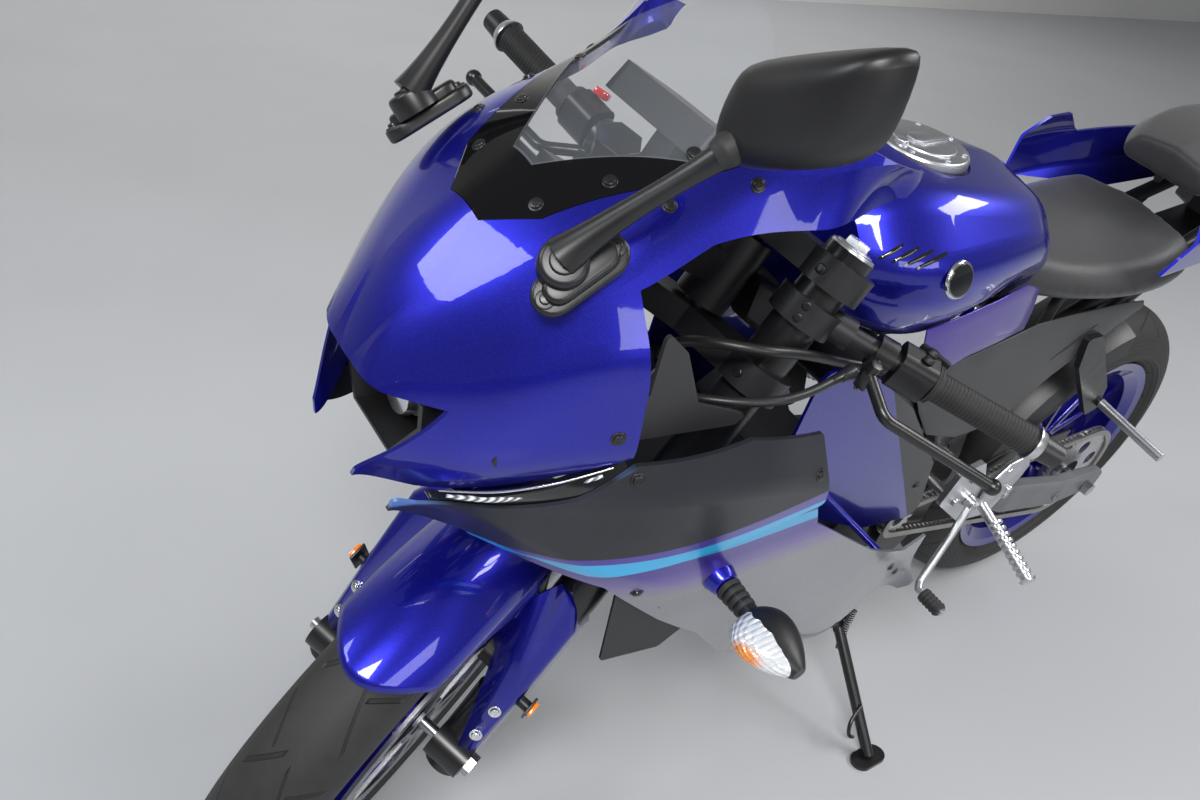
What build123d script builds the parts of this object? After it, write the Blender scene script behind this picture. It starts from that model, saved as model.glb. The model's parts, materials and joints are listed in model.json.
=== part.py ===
"""A sport motorcycle on its side stand, steering on its left stop, as separate pieces in millimetres.

Every piece is drawn on the upright machine: +X forward from the rear axle, +Y to the rider's left, +Z up
from the floor. On export the steered pieces turn to the left stop and the whole machine leans on its stand.
"""
import os
from math import atan2, cos, degrees, radians, sin, sqrt, tan

from build123d import *

os.makedirs("parts", exist_ok=True)

# ---------------------------------------------------------------- driving dimensions
WHEELBASE = 1325
RAKE = 26.0
FORK_OFFSET = 44.0
STEERING_LOCK = 28.0
LEAN = 10.0

FRONT_TYRE_RADIUS = 296.0
FRONT_TYRE_WIDTH = 100.0
REAR_TYRE_RADIUS = 314.0
REAR_TYRE_WIDTH = 140.0
BEAD_RADIUS = 216.0
TYRE_WALL = 9.0

FORK_SPACING = 172.0
FORK_TUBE_RADIUS = 26.0
FORK_LEG_RADIUS = 20.5
FORK_LEG_SEAT = 0.3
AXLE_LEAD = 14.0

FRONT_DISC_RADIUS = 146.0
REAR_DISC_RADIUS = 110.0
DISC_THICKNESS = 4.5
AXLE_RADIUS = 7.5
SHAFT_CLEARANCE = 0.3

PANEL = 4.0
SEAM = 0.6

# ---------------------------------------------------------------- where the machine stands
TRAIL = (FRONT_TYRE_RADIUS * sin(radians(RAKE)) - FORK_OFFSET) / cos(radians(RAKE))
STEER_FOOT = Vector(WHEELBASE + TRAIL, 0, 0)
STEER_UP = Vector(-sin(radians(RAKE)), 0, cos(radians(RAKE)))
STEER_AXIS = Axis(STEER_FOOT, STEER_UP)
REAR_HUB = Vector(0, 0, REAR_TYRE_RADIUS)
FRONT_HUB = Vector(WHEELBASE, 0, FRONT_TYRE_RADIUS)


def axle_drop(hub, spindle, radius, width):
    """How far below the wheel's hub its tyre reaches, for a spindle that points along the given vector."""
    crown = width / 2
    return hub.Z - (radius - crown) * sqrt(1 - spindle.Z**2) - crown


def parked(shape, steered=False):
    """The piece as it stands: steered to the left stop if it turns with the fork, then leaned on the stand."""
    if steered:
        shape = shape.rotate(STEER_AXIS, STEERING_LOCK)
    return shape.rotate(Axis.Y, PITCH).rotate(Axis.X, -LEAN).translate((0, 0, LIFT))


def turned(point, axis, angle):
    """A point after a turn about an axis."""
    return axis.position + (point - axis.position).rotate(Axis((0, 0, 0), axis.direction), angle)


def parked_point(point, steered=False):
    """Where a point of the upright machine comes to when it is parked."""
    if steered:
        point = turned(point, STEER_AXIS, STEERING_LOCK)
    return turned(turned(point, Axis.Y, PITCH), Axis.X, -LEAN) + Vector(0, 0, LIFT)


def parked_direction(way, steered=False):
    """Where a direction of the upright machine points when it is parked."""
    return parked_point(STEER_FOOT + way, steered) - parked_point(STEER_FOOT, steered)


PITCH = 0.0
LIFT = 0.0
for _ in range(6):
    rear_at = parked_point(REAR_HUB)
    front_at = parked_point(FRONT_HUB, True)
    rear_low = axle_drop(rear_at, parked_direction(Vector(0, 1, 0)), REAR_TYRE_RADIUS, REAR_TYRE_WIDTH)
    front_low = axle_drop(front_at, parked_direction(Vector(0, 1, 0), True), FRONT_TYRE_RADIUS, FRONT_TYRE_WIDTH)
    PITCH += degrees(atan2(front_low - rear_low, front_at.X - rear_at.X))
    LIFT -= rear_low



def parked_floor(point):
    """The point of the upright machine below a place that the floor touches, and the floor's upward direction."""
    up = Vector(0, 0, 1).rotate(Axis.X, LEAN).rotate(Axis.Y, -PITCH)
    return point - Vector(0, 0, parked_point(point).Z / up.Z), up


pieces = {}


def keep(part, name, steered=False):
    """Labels a finished piece and sets it aside, in its parked place, for export."""
    placed = parked(part, steered)
    placed.label = name
    pieces[name] = placed


# ---------------------------------------------------------------- helpers for drawing
def mirrored(part):
    """The same piece on the machine's right side."""
    return mirror(part, about=Plane.XZ)


def both_sides(part):
    """The piece and its mirror image as one."""
    with BuildPart() as pair:
        add(part)
        mirror(about=Plane.XZ)
    return pair.part


def side_plate(points, inner, outer, radius=0.0):
    """A flat plate seen from the side: its outline in X and Z, between two distances from the centre plane."""
    with BuildPart() as plate:
        with BuildSketch(Plane.XZ.offset(-outer)):
            with BuildLine():
                Polyline(*points, close=True)
            make_face()
            if radius:
                fillet(vertices(), radius)
        extrude(amount=outer - inner)
    return plate.part


def grown(points, by):
    """A closed outline, counter-clockwise, with every side moved out by the same distance."""
    moved = []
    for before, at, after in zip(points[-1:] + points[:-1], points, points[1:] + points[:1]):
        into = Vector(at[0] - before[0], at[1] - before[1]).normalized()
        out = Vector(after[0] - at[0], after[1] - at[1]).normalized()
        normal = Vector(into.Y + out.Y, -into.X - out.X).normalized()
        reach = by / normal.dot(Vector(into.Y, -into.X))
        moved.append((at[0] + normal.X * reach, at[1] + normal.Y * reach))
    return moved


def soft_corners(points, radius):
    """The largest radius up to a limit that each corner of a closed outline has room for."""
    radii = []
    for before, at, after in zip(points[-1:] + points[:-1], points, points[1:] + points[:1]):
        into = Vector(at[0] - before[0], at[1] - before[1])
        out = Vector(after[0] - at[0], after[1] - at[1])
        room = 0.44 * min(into.length, out.length) / tan(radians(into.get_angle(out)) / 2)
        radii.append(min(radius, room))
    return radii


def panel_loft(stations, radius, outer, inner, both=False):
    """A wall lofted through open outlines, seen from ahead, between two distances out from them. An outline
    runs up the left side; with both, it goes on over the top and down the right side."""
    with BuildPart() as wall:
        for x, half in stations:
            line = list(half)
            if both:
                line += [(-w, z) for w, z in reversed(half) if w > 0]
            edges = []
            for by in (outer, inner):
                moved = grown(line, by)
                ends = []
                for end, beside in ((0, 1), (-1, -2)):
                    along = Vector(line[beside][0] - line[end][0], line[beside][1] - line[end][1]).normalized()
                    side = 1 if end == 0 else -1
                    ends.append((line[end][0] + along.Y * by * side, line[end][1] - along.X * by * side))
                edges.append([ends[0], *moved[1:-1], ends[1]])
            rim, core = edges
            with BuildSketch(Plane.YZ.offset(x)):
                with BuildLine():
                    FilletPolyline(*rim, radius=soft_corners(rim, radius)[1:-1])
                    Line(rim[-1], core[-1])
                    FilletPolyline(*reversed(core), radius=soft_corners(core, radius)[-2:0:-1])
                    Line(core[0], rim[0])
                make_face()
        loft()
    return wall.part


def hull(stations, radius, grow=0.0):
    """A body lofted through sections across the machine. Each station is its X and its half outline,
    (half width, height) from the bottom up, which is mirrored to close it."""
    with BuildPart() as body:
        for x, half in stations:
            outline = list(half) + [(-w, z) for w, z in reversed(half) if w > 0]
            outline = grown(outline, grow)
            with BuildSketch(Plane.YZ.offset(x)):
                with BuildLine():
                    FilletPolyline(*outline, radius=soft_corners(outline, radius), close=True)
                make_face()
        loft()
    return body.part


def mid_wall(part, x, z):
    """How far out from the centre plane the middle of a wall on the left stands, at a point seen from the side."""
    hits = sorted(spot.Y for spot, _ in part.find_intersection_points(Axis((x, 0, z), (0, 1, 0))) if spot.Y > 0)
    return (hits[0] + hits[1]) / 2


def rod(start, end, radius):
    """A round bar between two points."""
    start, end = Vector(*start), Vector(*end)
    with BuildPart() as bar:
        with BuildSketch(Plane(origin=start, z_dir=end - start)):
            Circle(radius)
        extrude(amount=(end - start).length)
    return bar.part


def bent_rod(points, radii, radius):
    """A round bar along straight runs joined by arcs."""
    with BuildPart() as bar:
        with BuildLine() as path:
            FilletPolyline(*points, radius=radii)
        with BuildSketch(Plane(origin=path.line @ 0, z_dir=path.line % 0)):
            Circle(radius)
        sweep(path=path.line)
    return bar.part


# ---------------------------------------------------------------- wheels
RIM_FLANGE = 10.0


def tyre(hub, radius, width, rim_half):
    """A tyre wall with a round tread; its beads sit inside the rim's flanges."""
    crown = width / 2
    shoulder = radius - crown
    flange = rim_half - 4 - SHAFT_CLEARANCE
    foot = flange - 4
    with BuildPart() as made:
        with BuildSketch(Plane(origin=hub, x_dir=(0, 1, 0), z_dir=(1, 0, 0))):
            with BuildLine():
                ThreePointArc((-crown, shoulder), (0, radius), (crown, shoulder))
                Polyline((crown, shoulder), (flange, BEAD_RADIUS + RIM_FLANGE + 2), (foot, BEAD_RADIUS + 1.8),
                         (foot - TYRE_WALL, BEAD_RADIUS + 1.8), (crown - TYRE_WALL, shoulder))
                ThreePointArc((crown - TYRE_WALL, shoulder), (0, radius - TYRE_WALL), (TYRE_WALL - crown, shoulder))
                Polyline((TYRE_WALL - crown, shoulder), (TYRE_WALL - foot, BEAD_RADIUS + 1.8),
                         (-foot, BEAD_RADIUS + 1.8), (-flange, BEAD_RADIUS + RIM_FLANGE + 2), (-crown, shoulder))
            make_face()
        revolve(axis=Axis(hub, (0, 1, 0)))
    return made.part


SPOKE_PAIRS = 5
SPOKE_SPREAD = 17.0
HUB_RADIUS = 34.0


def rim(hub, half_width, hub_half, bore):
    """Cast wheel: barrel with two flanges, hub, and spokes that leave the hub in pairs."""
    well = BEAD_RADIUS - 22
    with BuildPart() as made:
        with BuildSketch(Plane(origin=hub, x_dir=(0, 1, 0), z_dir=(1, 0, 0))):
            with BuildLine():
                Polyline(
                    (-half_width, BEAD_RADIUS + RIM_FLANGE), (-half_width + 4, BEAD_RADIUS + RIM_FLANGE),
                    (-half_width + 8, BEAD_RADIUS + 1), (-half_width + 20, BEAD_RADIUS - 2),
                    (-half_width + 26, well + 6), (half_width - 26, well + 6),
                    (half_width - 20, BEAD_RADIUS - 2), (half_width - 8, BEAD_RADIUS + 1),
                    (half_width - 4, BEAD_RADIUS + RIM_FLANGE), (half_width, BEAD_RADIUS + RIM_FLANGE),
                    (half_width - 3, BEAD_RADIUS - 6), (half_width - 16, well - 2),
                    (-half_width + 16, well - 2), (-half_width + 3, BEAD_RADIUS - 6),
                    close=True,
                )
            make_face()
        revolve(axis=Axis(hub, (0, 1, 0)))
        with BuildSketch(Plane(origin=hub, x_dir=(0, 1, 0), z_dir=(1, 0, 0))):
            with BuildLine():
                Polyline(
                    (-hub_half, 0), (-hub_half, HUB_RADIUS - 8), (-hub_half + 12, HUB_RADIUS),
                    (hub_half - 12, HUB_RADIUS), (hub_half, HUB_RADIUS - 8), (hub_half, 0), close=True,
                )
            make_face()
        revolve(axis=Axis(hub, (0, 1, 0)))
        for pair in range(SPOKE_PAIRS):
            for lean in (-SPOKE_SPREAD, SPOKE_SPREAD):
                angle = 360 / SPOKE_PAIRS * pair + 90
                foot = Vector(0, 0, HUB_RADIUS - 6).rotate(Axis.Y, angle + lean * 0.4)
                tip = Vector(0, 0, well + 2).rotate(Axis.Y, angle + lean)
                run = tip - foot
                with BuildSketch(Plane(origin=hub + foot, x_dir=(0, 1, 0), z_dir=run)):
                    RectangleRounded(34, 20, 6)
                with BuildSketch(Plane(origin=hub + tip, x_dir=(0, 1, 0), z_dir=run)):
                    RectangleRounded(24, 13, 5)
                loft()
        with Locations(Plane(origin=hub + Vector(0, hub_half, 0), z_dir=(0, 1, 0))):
            Hole(bore)
    return made.part


def disc(hub, offset_y, radius, band, holes, carrier_radius):
    """Brake disc: a drilled band and the spider that carries it."""
    with BuildPart() as made:
        with BuildSketch(Plane(origin=hub + Vector(0, offset_y, 0), z_dir=(0, 1, 0))):
            Circle(radius)
            Circle(radius - band, mode=Mode.SUBTRACT)
            with PolarLocations(radius - band / 2, holes):
                Circle(3.5, mode=Mode.SUBTRACT)
            with PolarLocations(radius - band / 4, holes, start_angle=180 / holes):
                Circle(3.0, mode=Mode.SUBTRACT)
        extrude(amount=DISC_THICKNESS)
        with BuildSketch(Plane(origin=hub + Vector(0, offset_y, 0), z_dir=(0, 1, 0))):
            Circle(carrier_radius + 12)
            Circle(carrier_radius, mode=Mode.SUBTRACT)
            with PolarLocations((radius - band + carrier_radius) / 2, 6):
                Rectangle(radius - band - carrier_radius + 4, 16)
        extrude(amount=DISC_THICKNESS)
    return made.part


FRONT_RIM_HALF = 44.0
REAR_RIM_HALF = 58.0
FRONT_HUB_HALF = 44.0
REAR_HUB_HALF = 62.0
keep(tyre(FRONT_HUB, FRONT_TYRE_RADIUS, FRONT_TYRE_WIDTH, FRONT_RIM_HALF), "front_tyre", True)
keep(rim(FRONT_HUB, FRONT_RIM_HALF, FRONT_HUB_HALF, AXLE_RADIUS + SHAFT_CLEARANCE), "front_rim", True)
FRONT_DISC_Y = FRONT_HUB_HALF + SEAM
keep(disc(FRONT_HUB, FRONT_DISC_Y, FRONT_DISC_RADIUS, 32, 24, 22), "front_disc", True)
keep(tyre(REAR_HUB, REAR_TYRE_RADIUS, REAR_TYRE_WIDTH, REAR_RIM_HALF), "rear_tyre")
keep(rim(REAR_HUB, REAR_RIM_HALF, REAR_HUB_HALF, AXLE_RADIUS + SHAFT_CLEARANCE), "rear_rim")
REAR_DISC_Y = -REAR_HUB_HALF - SEAM - DISC_THICKNESS
keep(disc(REAR_HUB, REAR_DISC_Y, REAR_DISC_RADIUS, 28, 18, 22), "rear_disc")

# ---------------------------------------------------------------- final drive
CHAIN_PITCH = 12.7
SPROCKET_TEETH = 48
PINION_TEETH = 14
SPROCKET_THICKNESS = 6.0
PINION_AT = Vector(520, 0, 372)
CHAIN_Y = REAR_HUB_HALF + 26.0
SPROCKET_PITCH_RADIUS = CHAIN_PITCH / (2 * sin(radians(180 / SPROCKET_TEETH)))
PINION_PITCH_RADIUS = CHAIN_PITCH / (2 * sin(radians(180 / PINION_TEETH)))


def sprocket(centre, teeth, pitch_radius, y, bore, carrier=0.0):
    with BuildPart() as made:
        with BuildSketch(Plane(origin=Vector(centre.X, y + SPROCKET_THICKNESS / 2, centre.Z), z_dir=(0, 1, 0))):
            Circle(pitch_radius + 3.5)
            with PolarLocations(pitch_radius + 1.0, teeth):
                Circle(4.2, mode=Mode.SUBTRACT)
            Circle(bore, mode=Mode.SUBTRACT)
            if pitch_radius > 60:
                with PolarLocations(pitch_radius * 0.62, 5):
                    Circle(15, mode=Mode.SUBTRACT)
        extrude(amount=-SPROCKET_THICKNESS)
        if carrier:
            with BuildSketch(Plane(origin=Vector(centre.X, carrier, centre.Z), z_dir=(0, 1, 0))):
                Circle(bore + 20)
                Circle(bore, mode=Mode.SUBTRACT)
            extrude(amount=y - carrier)
    return made.part


keep(sprocket(REAR_HUB, SPROCKET_TEETH, SPROCKET_PITCH_RADIUS, CHAIN_Y, 26, REAR_HUB_HALF + SEAM),
     "rear_sprocket")

# ---------------------------------------------------------------- chain
CHAIN_LINK_HEIGHT = 11.0
CHAIN_PLATE = 1.6
CHAIN_INNER_GAP = 7.4
CHAIN_ROLLER = 3.9
LINK_GAP = 0.3


def chain_band(pitch_offset, near, far):
    """One side band of the chain: a flat loop round both sprockets, between two distances across."""
    high, low = SPROCKET_PITCH_RADIUS + pitch_offset, PINION_PITCH_RADIUS + pitch_offset
    span = Vector(PINION_AT.X - REAR_HUB.X, PINION_AT.Z - REAR_HUB.Z)
    tilt = degrees(atan2(span.Y, span.X))
    wedge = degrees(atan2(high - low, sqrt(span.length**2 - (high - low) ** 2)))
    back, front = (REAR_HUB.X, REAR_HUB.Z), (PINION_AT.X, PINION_AT.Z)
    with BuildPart() as band:
        with BuildSketch(Plane.XZ.offset(-far)):
            with BuildLine():
                rear_arc = CenterArc(back, high, tilt + 90 - wedge, 180 + 2 * wedge)
                front_arc = CenterArc(front, low, tilt - 90 + wedge, 180 - 2 * wedge)
                Line(rear_arc @ 0, front_arc @ 1)
                Line(rear_arc @ 1, front_arc @ 0)
            make_face()
        extrude(amount=far - near)
    return band.part


CHAIN_BANDS = (
    (CHAIN_Y - CHAIN_INNER_GAP / 2 - 2 * CHAIN_PLATE, CHAIN_Y - CHAIN_INNER_GAP / 2),
    (CHAIN_Y + CHAIN_INNER_GAP / 2, CHAIN_Y + CHAIN_INNER_GAP / 2 + 2 * CHAIN_PLATE),
)
with BuildPart() as chain:
    for near, far in CHAIN_BANDS:
        add(chain_band(CHAIN_LINK_HEIGHT / 2, near, far))
        add(chain_band(-CHAIN_LINK_HEIGHT / 2, near - 1, far + 1), mode=Mode.SUBTRACT)
    run = Vector(PINION_AT.X - REAR_HUB.X, 0, PINION_AT.Z - REAR_HUB.Z)
    drop = SPROCKET_PITCH_RADIUS - PINION_PITCH_RADIUS
    for side in (1, -1):
        swing = degrees(atan2(run.Z, run.X)) - side * degrees(atan2(drop, run.length))
        normal = Vector(-sin(radians(swing)), 0, cos(radians(swing))) * side
        first = REAR_HUB + normal * SPROCKET_PITCH_RADIUS
        last = PINION_AT + normal * PINION_PITCH_RADIUS
        count = int((last - first).length / CHAIN_PITCH) - 5
        with Locations(*[first + (last - first) * (pin + 3) / (count + 5) + Vector(0, CHAIN_Y, 0) for pin in range(count)]):
            Cylinder(CHAIN_ROLLER, CHAIN_INNER_GAP, rotation=(90, 0, 0))
keep(chain.part, "chain")
keep(sprocket(PINION_AT, PINION_TEETH, PINION_PITCH_RADIUS, CHAIN_Y, 12), "front_sprocket")

# ---------------------------------------------------------------- swingarm and rear axle
SWINGARM_PIVOT = Vector(446, 0, 396)
PIVOT_HALF = 60.0
PIVOT_RADIUS = 8.7
BOBBIN_AT = Vector(92, 131, 318)
BOBBIN_BORE = 3.4
BOBBIN_DEPTH = 18.0
ARM_SECTIONS = (
    # x, centre y, centre z, width, height
    (462, 44, 396, 32, 60),
    (402, 44, 388, 32, 60),
    (342, 60, 370, 30, 62),
    (235, 100, 338, 30, 62),
    (90, 116, 320, 28, 56),
    (-44, 118, 314, 24, 46),
)
with BuildPart() as swingarm:
    for x, y, z, width, height in ARM_SECTIONS:
        with BuildSketch(Plane(origin=(x, y, z), x_dir=(0, 1, 0), z_dir=(1, 0, 0))):
            RectangleRounded(width, height, 8)
    loft(ruled=True)
    mirror(about=Plane.XZ)
    with BuildSketch(Plane.XZ.offset(-58)):
        with Locations((398, 388)):
            RectangleRounded(70, 50, 12)
    extrude(amount=116)
    with BuildSketch(Plane.XZ.offset(-PIVOT_HALF)):
        with Locations((SWINGARM_PIVOT.X, SWINGARM_PIVOT.Z)):
            Circle(27)
    extrude(amount=2 * PIVOT_HALF)
    with Locations(Plane(origin=SWINGARM_PIVOT + Vector(0, PIVOT_HALF, 0), z_dir=(0, 1, 0))):
        Hole(PIVOT_RADIUS + SHAFT_CLEARANCE)
    with Locations(Plane(origin=REAR_HUB + Vector(0, 132, 0), z_dir=(0, 1, 0))):
        Hole(AXLE_RADIUS + SHAFT_CLEARANCE)
    for side in (1, -1):
        with BuildSketch(Plane(origin=(BOBBIN_AT.X, side * BOBBIN_AT.Y, BOBBIN_AT.Z), z_dir=(0, side, 0))):
            Circle(11)
        extrude(amount=-BOBBIN_DEPTH - 4)
        with BuildSketch(Plane(origin=(BOBBIN_AT.X, side * BOBBIN_AT.Y, BOBBIN_AT.Z), z_dir=(0, side, 0))):
            Circle(BOBBIN_BORE)
        extrude(amount=-BOBBIN_DEPTH, mode=Mode.SUBTRACT)
keep(swingarm.part, "swingarm")

with BuildPart() as rear_caliper:
    spot = REAR_HUB + Vector(REAR_DISC_RADIUS - 16, 0, 0).rotate(Axis.Y, -34)
    with BuildSketch(Plane(origin=spot + Vector(0, REAR_DISC_Y - 24, 0), z_dir=(0, 1, 0), x_dir=spot - REAR_HUB)):
        RectangleRounded(52, 92, 12)
    extrude(amount=48)
    with BuildSketch(Plane(origin=REAR_HUB + Vector(0, REAR_DISC_Y - 3, 0), z_dir=(0, 1, 0))):
        Circle(REAR_DISC_RADIUS + 3)
    extrude(amount=DISC_THICKNESS + 6, mode=Mode.SUBTRACT)
    add(side_plate([(REAR_HUB.X - 16, REAR_HUB.Z - 16), (REAR_HUB.X + 16, REAR_HUB.Z - 18), (spot.X + 22, spot.Z - 24),
                    (spot.X - 8, spot.Z + 26), (REAR_HUB.X - 18, REAR_HUB.Z + 16)], -97, REAR_DISC_Y - 23, 8))
    with BuildSketch(Plane(origin=REAR_HUB + Vector(0, -100, 0), z_dir=(0, 1, 0))):
        Circle(AXLE_RADIUS + SHAFT_CLEARANCE)
    extrude(amount=40, mode=Mode.SUBTRACT)
    add(swingarm.part, mode=Mode.SUBTRACT)
keep(rear_caliper.part, "rear_caliper")

REAR_AXLE_HALF = 144.0
with BuildPart() as rear_axle:
    with BuildSketch(Plane(origin=REAR_HUB + Vector(0, -REAR_AXLE_HALF, 0), z_dir=(0, 1, 0))):
        Circle(AXLE_RADIUS)
    extrude(amount=2 * REAR_AXLE_HALF)
    for y in (-REAR_AXLE_HALF, REAR_AXLE_HALF - 12):
        with BuildSketch(Plane(origin=REAR_HUB + Vector(0, y, 0), z_dir=(0, 1, 0))):
            RegularPolygon(14, 6)
        extrude(amount=12)
keep(rear_axle.part, "rear_axle")

# ---------------------------------------------------------------- front fork, yokes and bars
FORK_OFFSET_YOKE = FORK_OFFSET - AXLE_LEAD
STEER_RIGHT = Vector(0, -1, 0)
STEER_AHEAD = STEER_UP.cross(STEER_RIGHT) * -1
if STEER_AHEAD.X < 0:
    STEER_AHEAD = STEER_AHEAD * -1


def on_steering(along, ahead=0.0, across=0.0):
    """A point by its distance up the steering axis from the floor, ahead of the axis, and to the left."""
    return STEER_FOOT + STEER_UP * along + STEER_AHEAD * ahead + Vector(0, across, 0)


def steering_plane(along, ahead=0.0, across=0.0):
    return Plane(origin=on_steering(along, ahead, across), x_dir=STEER_AHEAD, z_dir=STEER_UP)


HUB_ALONG = (FRONT_HUB - STEER_FOOT).dot(STEER_UP)
FORK_TOP = 1032.0
FORK_TUBE_END = 505.0
LOWER_YOKE_AT = 862.0
UPPER_YOKE_AT = 990.0
HEAD_TUBE = (LOWER_YOKE_AT + 36, UPPER_YOKE_AT - 6)
YOKE_THICKNESS = 30.0
STEM_RADIUS = 14.0
FORK_Y = FORK_SPACING / 2 + 9

with BuildPart() as fork_tubes:
    for y in (FORK_Y, -FORK_Y):
        with BuildSketch(steering_plane(FORK_TUBE_END, FORK_OFFSET_YOKE, y)):
            Circle(FORK_TUBE_RADIUS)
            Circle(FORK_LEG_RADIUS + FORK_LEG_SEAT, mode=Mode.SUBTRACT)
        extrude(amount=FORK_TOP - FORK_TUBE_END)
        with BuildSketch(steering_plane(FORK_TOP, FORK_OFFSET_YOKE, y)):
            Circle(FORK_TUBE_RADIUS)
        extrude(amount=-30)
        with BuildSketch(steering_plane(FORK_TOP, FORK_OFFSET_YOKE, y)):
            RegularPolygon(13, 6)
        extrude(amount=8)
keep(fork_tubes.part, "fork_tubes", True)

with BuildPart() as fork_legs:
    for y in (FORK_Y, -FORK_Y):
        with BuildSketch(steering_plane(HUB_ALONG + 12, FORK_OFFSET_YOKE, y)):
            Circle(FORK_LEG_RADIUS)
        extrude(amount=FORK_TUBE_END + 140 - HUB_ALONG - 12)
        with BuildSketch(steering_plane(HUB_ALONG - 30, FORK_OFFSET_YOKE, y)):
            Circle(FORK_TUBE_RADIUS - 1)
        extrude(amount=118)
        with BuildSketch(Plane(origin=FRONT_HUB + Vector(0, y - 24, 0), z_dir=(0, 1, 0))):
            Circle(24)
        extrude(amount=48)
    with Locations(Plane(origin=FRONT_HUB + Vector(0, 160, 0), z_dir=(0, 1, 0))):
        Hole(AXLE_RADIUS + SHAFT_CLEARANCE)
keep(fork_legs.part, "fork_legs", True)

FRONT_AXLE_HALF = FORK_Y + 34
with BuildPart() as front_axle:
    with BuildSketch(Plane(origin=FRONT_HUB + Vector(0, -FRONT_AXLE_HALF, 0), z_dir=(0, 1, 0))):
        Circle(AXLE_RADIUS)
    extrude(amount=2 * FRONT_AXLE_HALF)
    with BuildSketch(Plane(origin=FRONT_HUB + Vector(0, FRONT_AXLE_HALF, 0), z_dir=(0, 1, 0))):
        RegularPolygon(14, 6)
    extrude(amount=-9)
keep(front_axle.part, "front_axle", True)


def yoke(along, reach_back, stem_hole):
    """A fork clamp: two split rings on the tubes joined by a web round the steering stem."""
    with BuildPart() as made:
        with BuildSketch(steering_plane(along)):
            with BuildLine():
                Polyline(
                    (FORK_OFFSET_YOKE + 30, -FORK_Y), (FORK_OFFSET_YOKE + 4, 0), (FORK_OFFSET_YOKE + 30, FORK_Y),
                    (FORK_OFFSET_YOKE - 30, FORK_Y + 20), (-reach_back, 34), (-reach_back, -34),
                    (FORK_OFFSET_YOKE - 30, -FORK_Y - 20), close=True,
                )
            make_face()
            with Locations((FORK_OFFSET_YOKE, FORK_Y), (FORK_OFFSET_YOKE, -FORK_Y)):
                Circle(FORK_TUBE_RADIUS + 11)
            with Locations((FORK_OFFSET_YOKE, FORK_Y), (FORK_OFFSET_YOKE, -FORK_Y)):
                Circle(FORK_TUBE_RADIUS, mode=Mode.SUBTRACT)
            if stem_hole:
                Circle(stem_hole, mode=Mode.SUBTRACT)
        extrude(amount=YOKE_THICKNESS)
        fillet(made.edges().filter_by(Axis(on_steering(0), STEER_UP)).sort_by(Axis.X)[:2], 12)
    return made.part


STAND_BORE = 9.0
STAND_BORE_DEPTH = 60.0
keep(yoke(UPPER_YOKE_AT, 24, 0), "upper_yoke", True)
with BuildPart() as lower_yoke:
    add(yoke(LOWER_YOKE_AT, 26, 0))
    with BuildSketch(steering_plane(LOWER_YOKE_AT)):
        Circle(STEM_RADIUS)
    extrude(amount=UPPER_YOKE_AT - LOWER_YOKE_AT)
    with BuildSketch(steering_plane(LOWER_YOKE_AT)):
        Circle(STAND_BORE)
    extrude(amount=STAND_BORE_DEPTH, mode=Mode.SUBTRACT)
keep(lower_yoke.part, "lower_yoke", True)

BAR_RADIUS = 11.1
GRIP_RADIUS = 16.0
GRIP_LENGTH = 120.0
CLIP_AT = 946.0
BAR_ROOT = on_steering(CLIP_AT + 14, FORK_OFFSET_YOKE, FORK_Y)
BAR_END = Vector(952, 364, 872)
BAR_RUN = (BAR_END - BAR_ROOT).normalized()
BAR_LENGTH = (BAR_END - BAR_ROOT).length
with BuildPart() as clip_on_left:
    with BuildSketch(steering_plane(CLIP_AT, FORK_OFFSET_YOKE, FORK_Y)):
        Circle(FORK_TUBE_RADIUS + 9)
    extrude(amount=28)
    with BuildSketch(Plane(origin=BAR_ROOT, z_dir=BAR_RUN)):
        Circle(BAR_RADIUS)
    extrude(amount=BAR_LENGTH - 14)
    with BuildSketch(Plane(origin=BAR_END - BAR_RUN * 14, z_dir=BAR_RUN)):
        Circle(BAR_RADIUS + 4)
    extrude(amount=34, taper=4)
    with BuildSketch(Plane(origin=BAR_ROOT, z_dir=BAR_RUN)):
        Circle(17)
    extrude(amount=52)
    with BuildSketch(steering_plane(CLIP_AT - 30, FORK_OFFSET_YOKE, FORK_Y)):
        Circle(FORK_TUBE_RADIUS + SHAFT_CLEARANCE)
    extrude(amount=90, mode=Mode.SUBTRACT)


def on_bar(distance):
    """A plane square to the left bar, that far in from its outer end."""
    return Plane(origin=BAR_END - BAR_RUN * distance, z_dir=BAR_RUN, x_dir=Vector(0, 0, 1).cross(BAR_RUN))


with BuildPart() as grip_left:
    with BuildSketch(on_bar(GRIP_LENGTH + 14)):
        Circle(GRIP_RADIUS)
        Circle(BAR_RADIUS + SHAFT_CLEARANCE, mode=Mode.SUBTRACT)
    extrude(amount=GRIP_LENGTH)
    with BuildSketch(on_bar(GRIP_LENGTH + 14)):
        Circle(GRIP_RADIUS + 5)
        Circle(BAR_RADIUS + SHAFT_CLEARANCE, mode=Mode.SUBTRACT)
    extrude(amount=5)
with BuildPart() as switches_left:
    with BuildSketch(on_bar(GRIP_LENGTH + 16)):
        RectangleRounded(40, 44, 12)
        Circle(BAR_RADIUS + SHAFT_CLEARANCE, mode=Mode.SUBTRACT)
    extrude(amount=-38)
for name, part in (("clip_ons", clip_on_left), ("grips", grip_left), ("switches", switches_left)):
    keep(both_sides(part.part), name, True)

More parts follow.
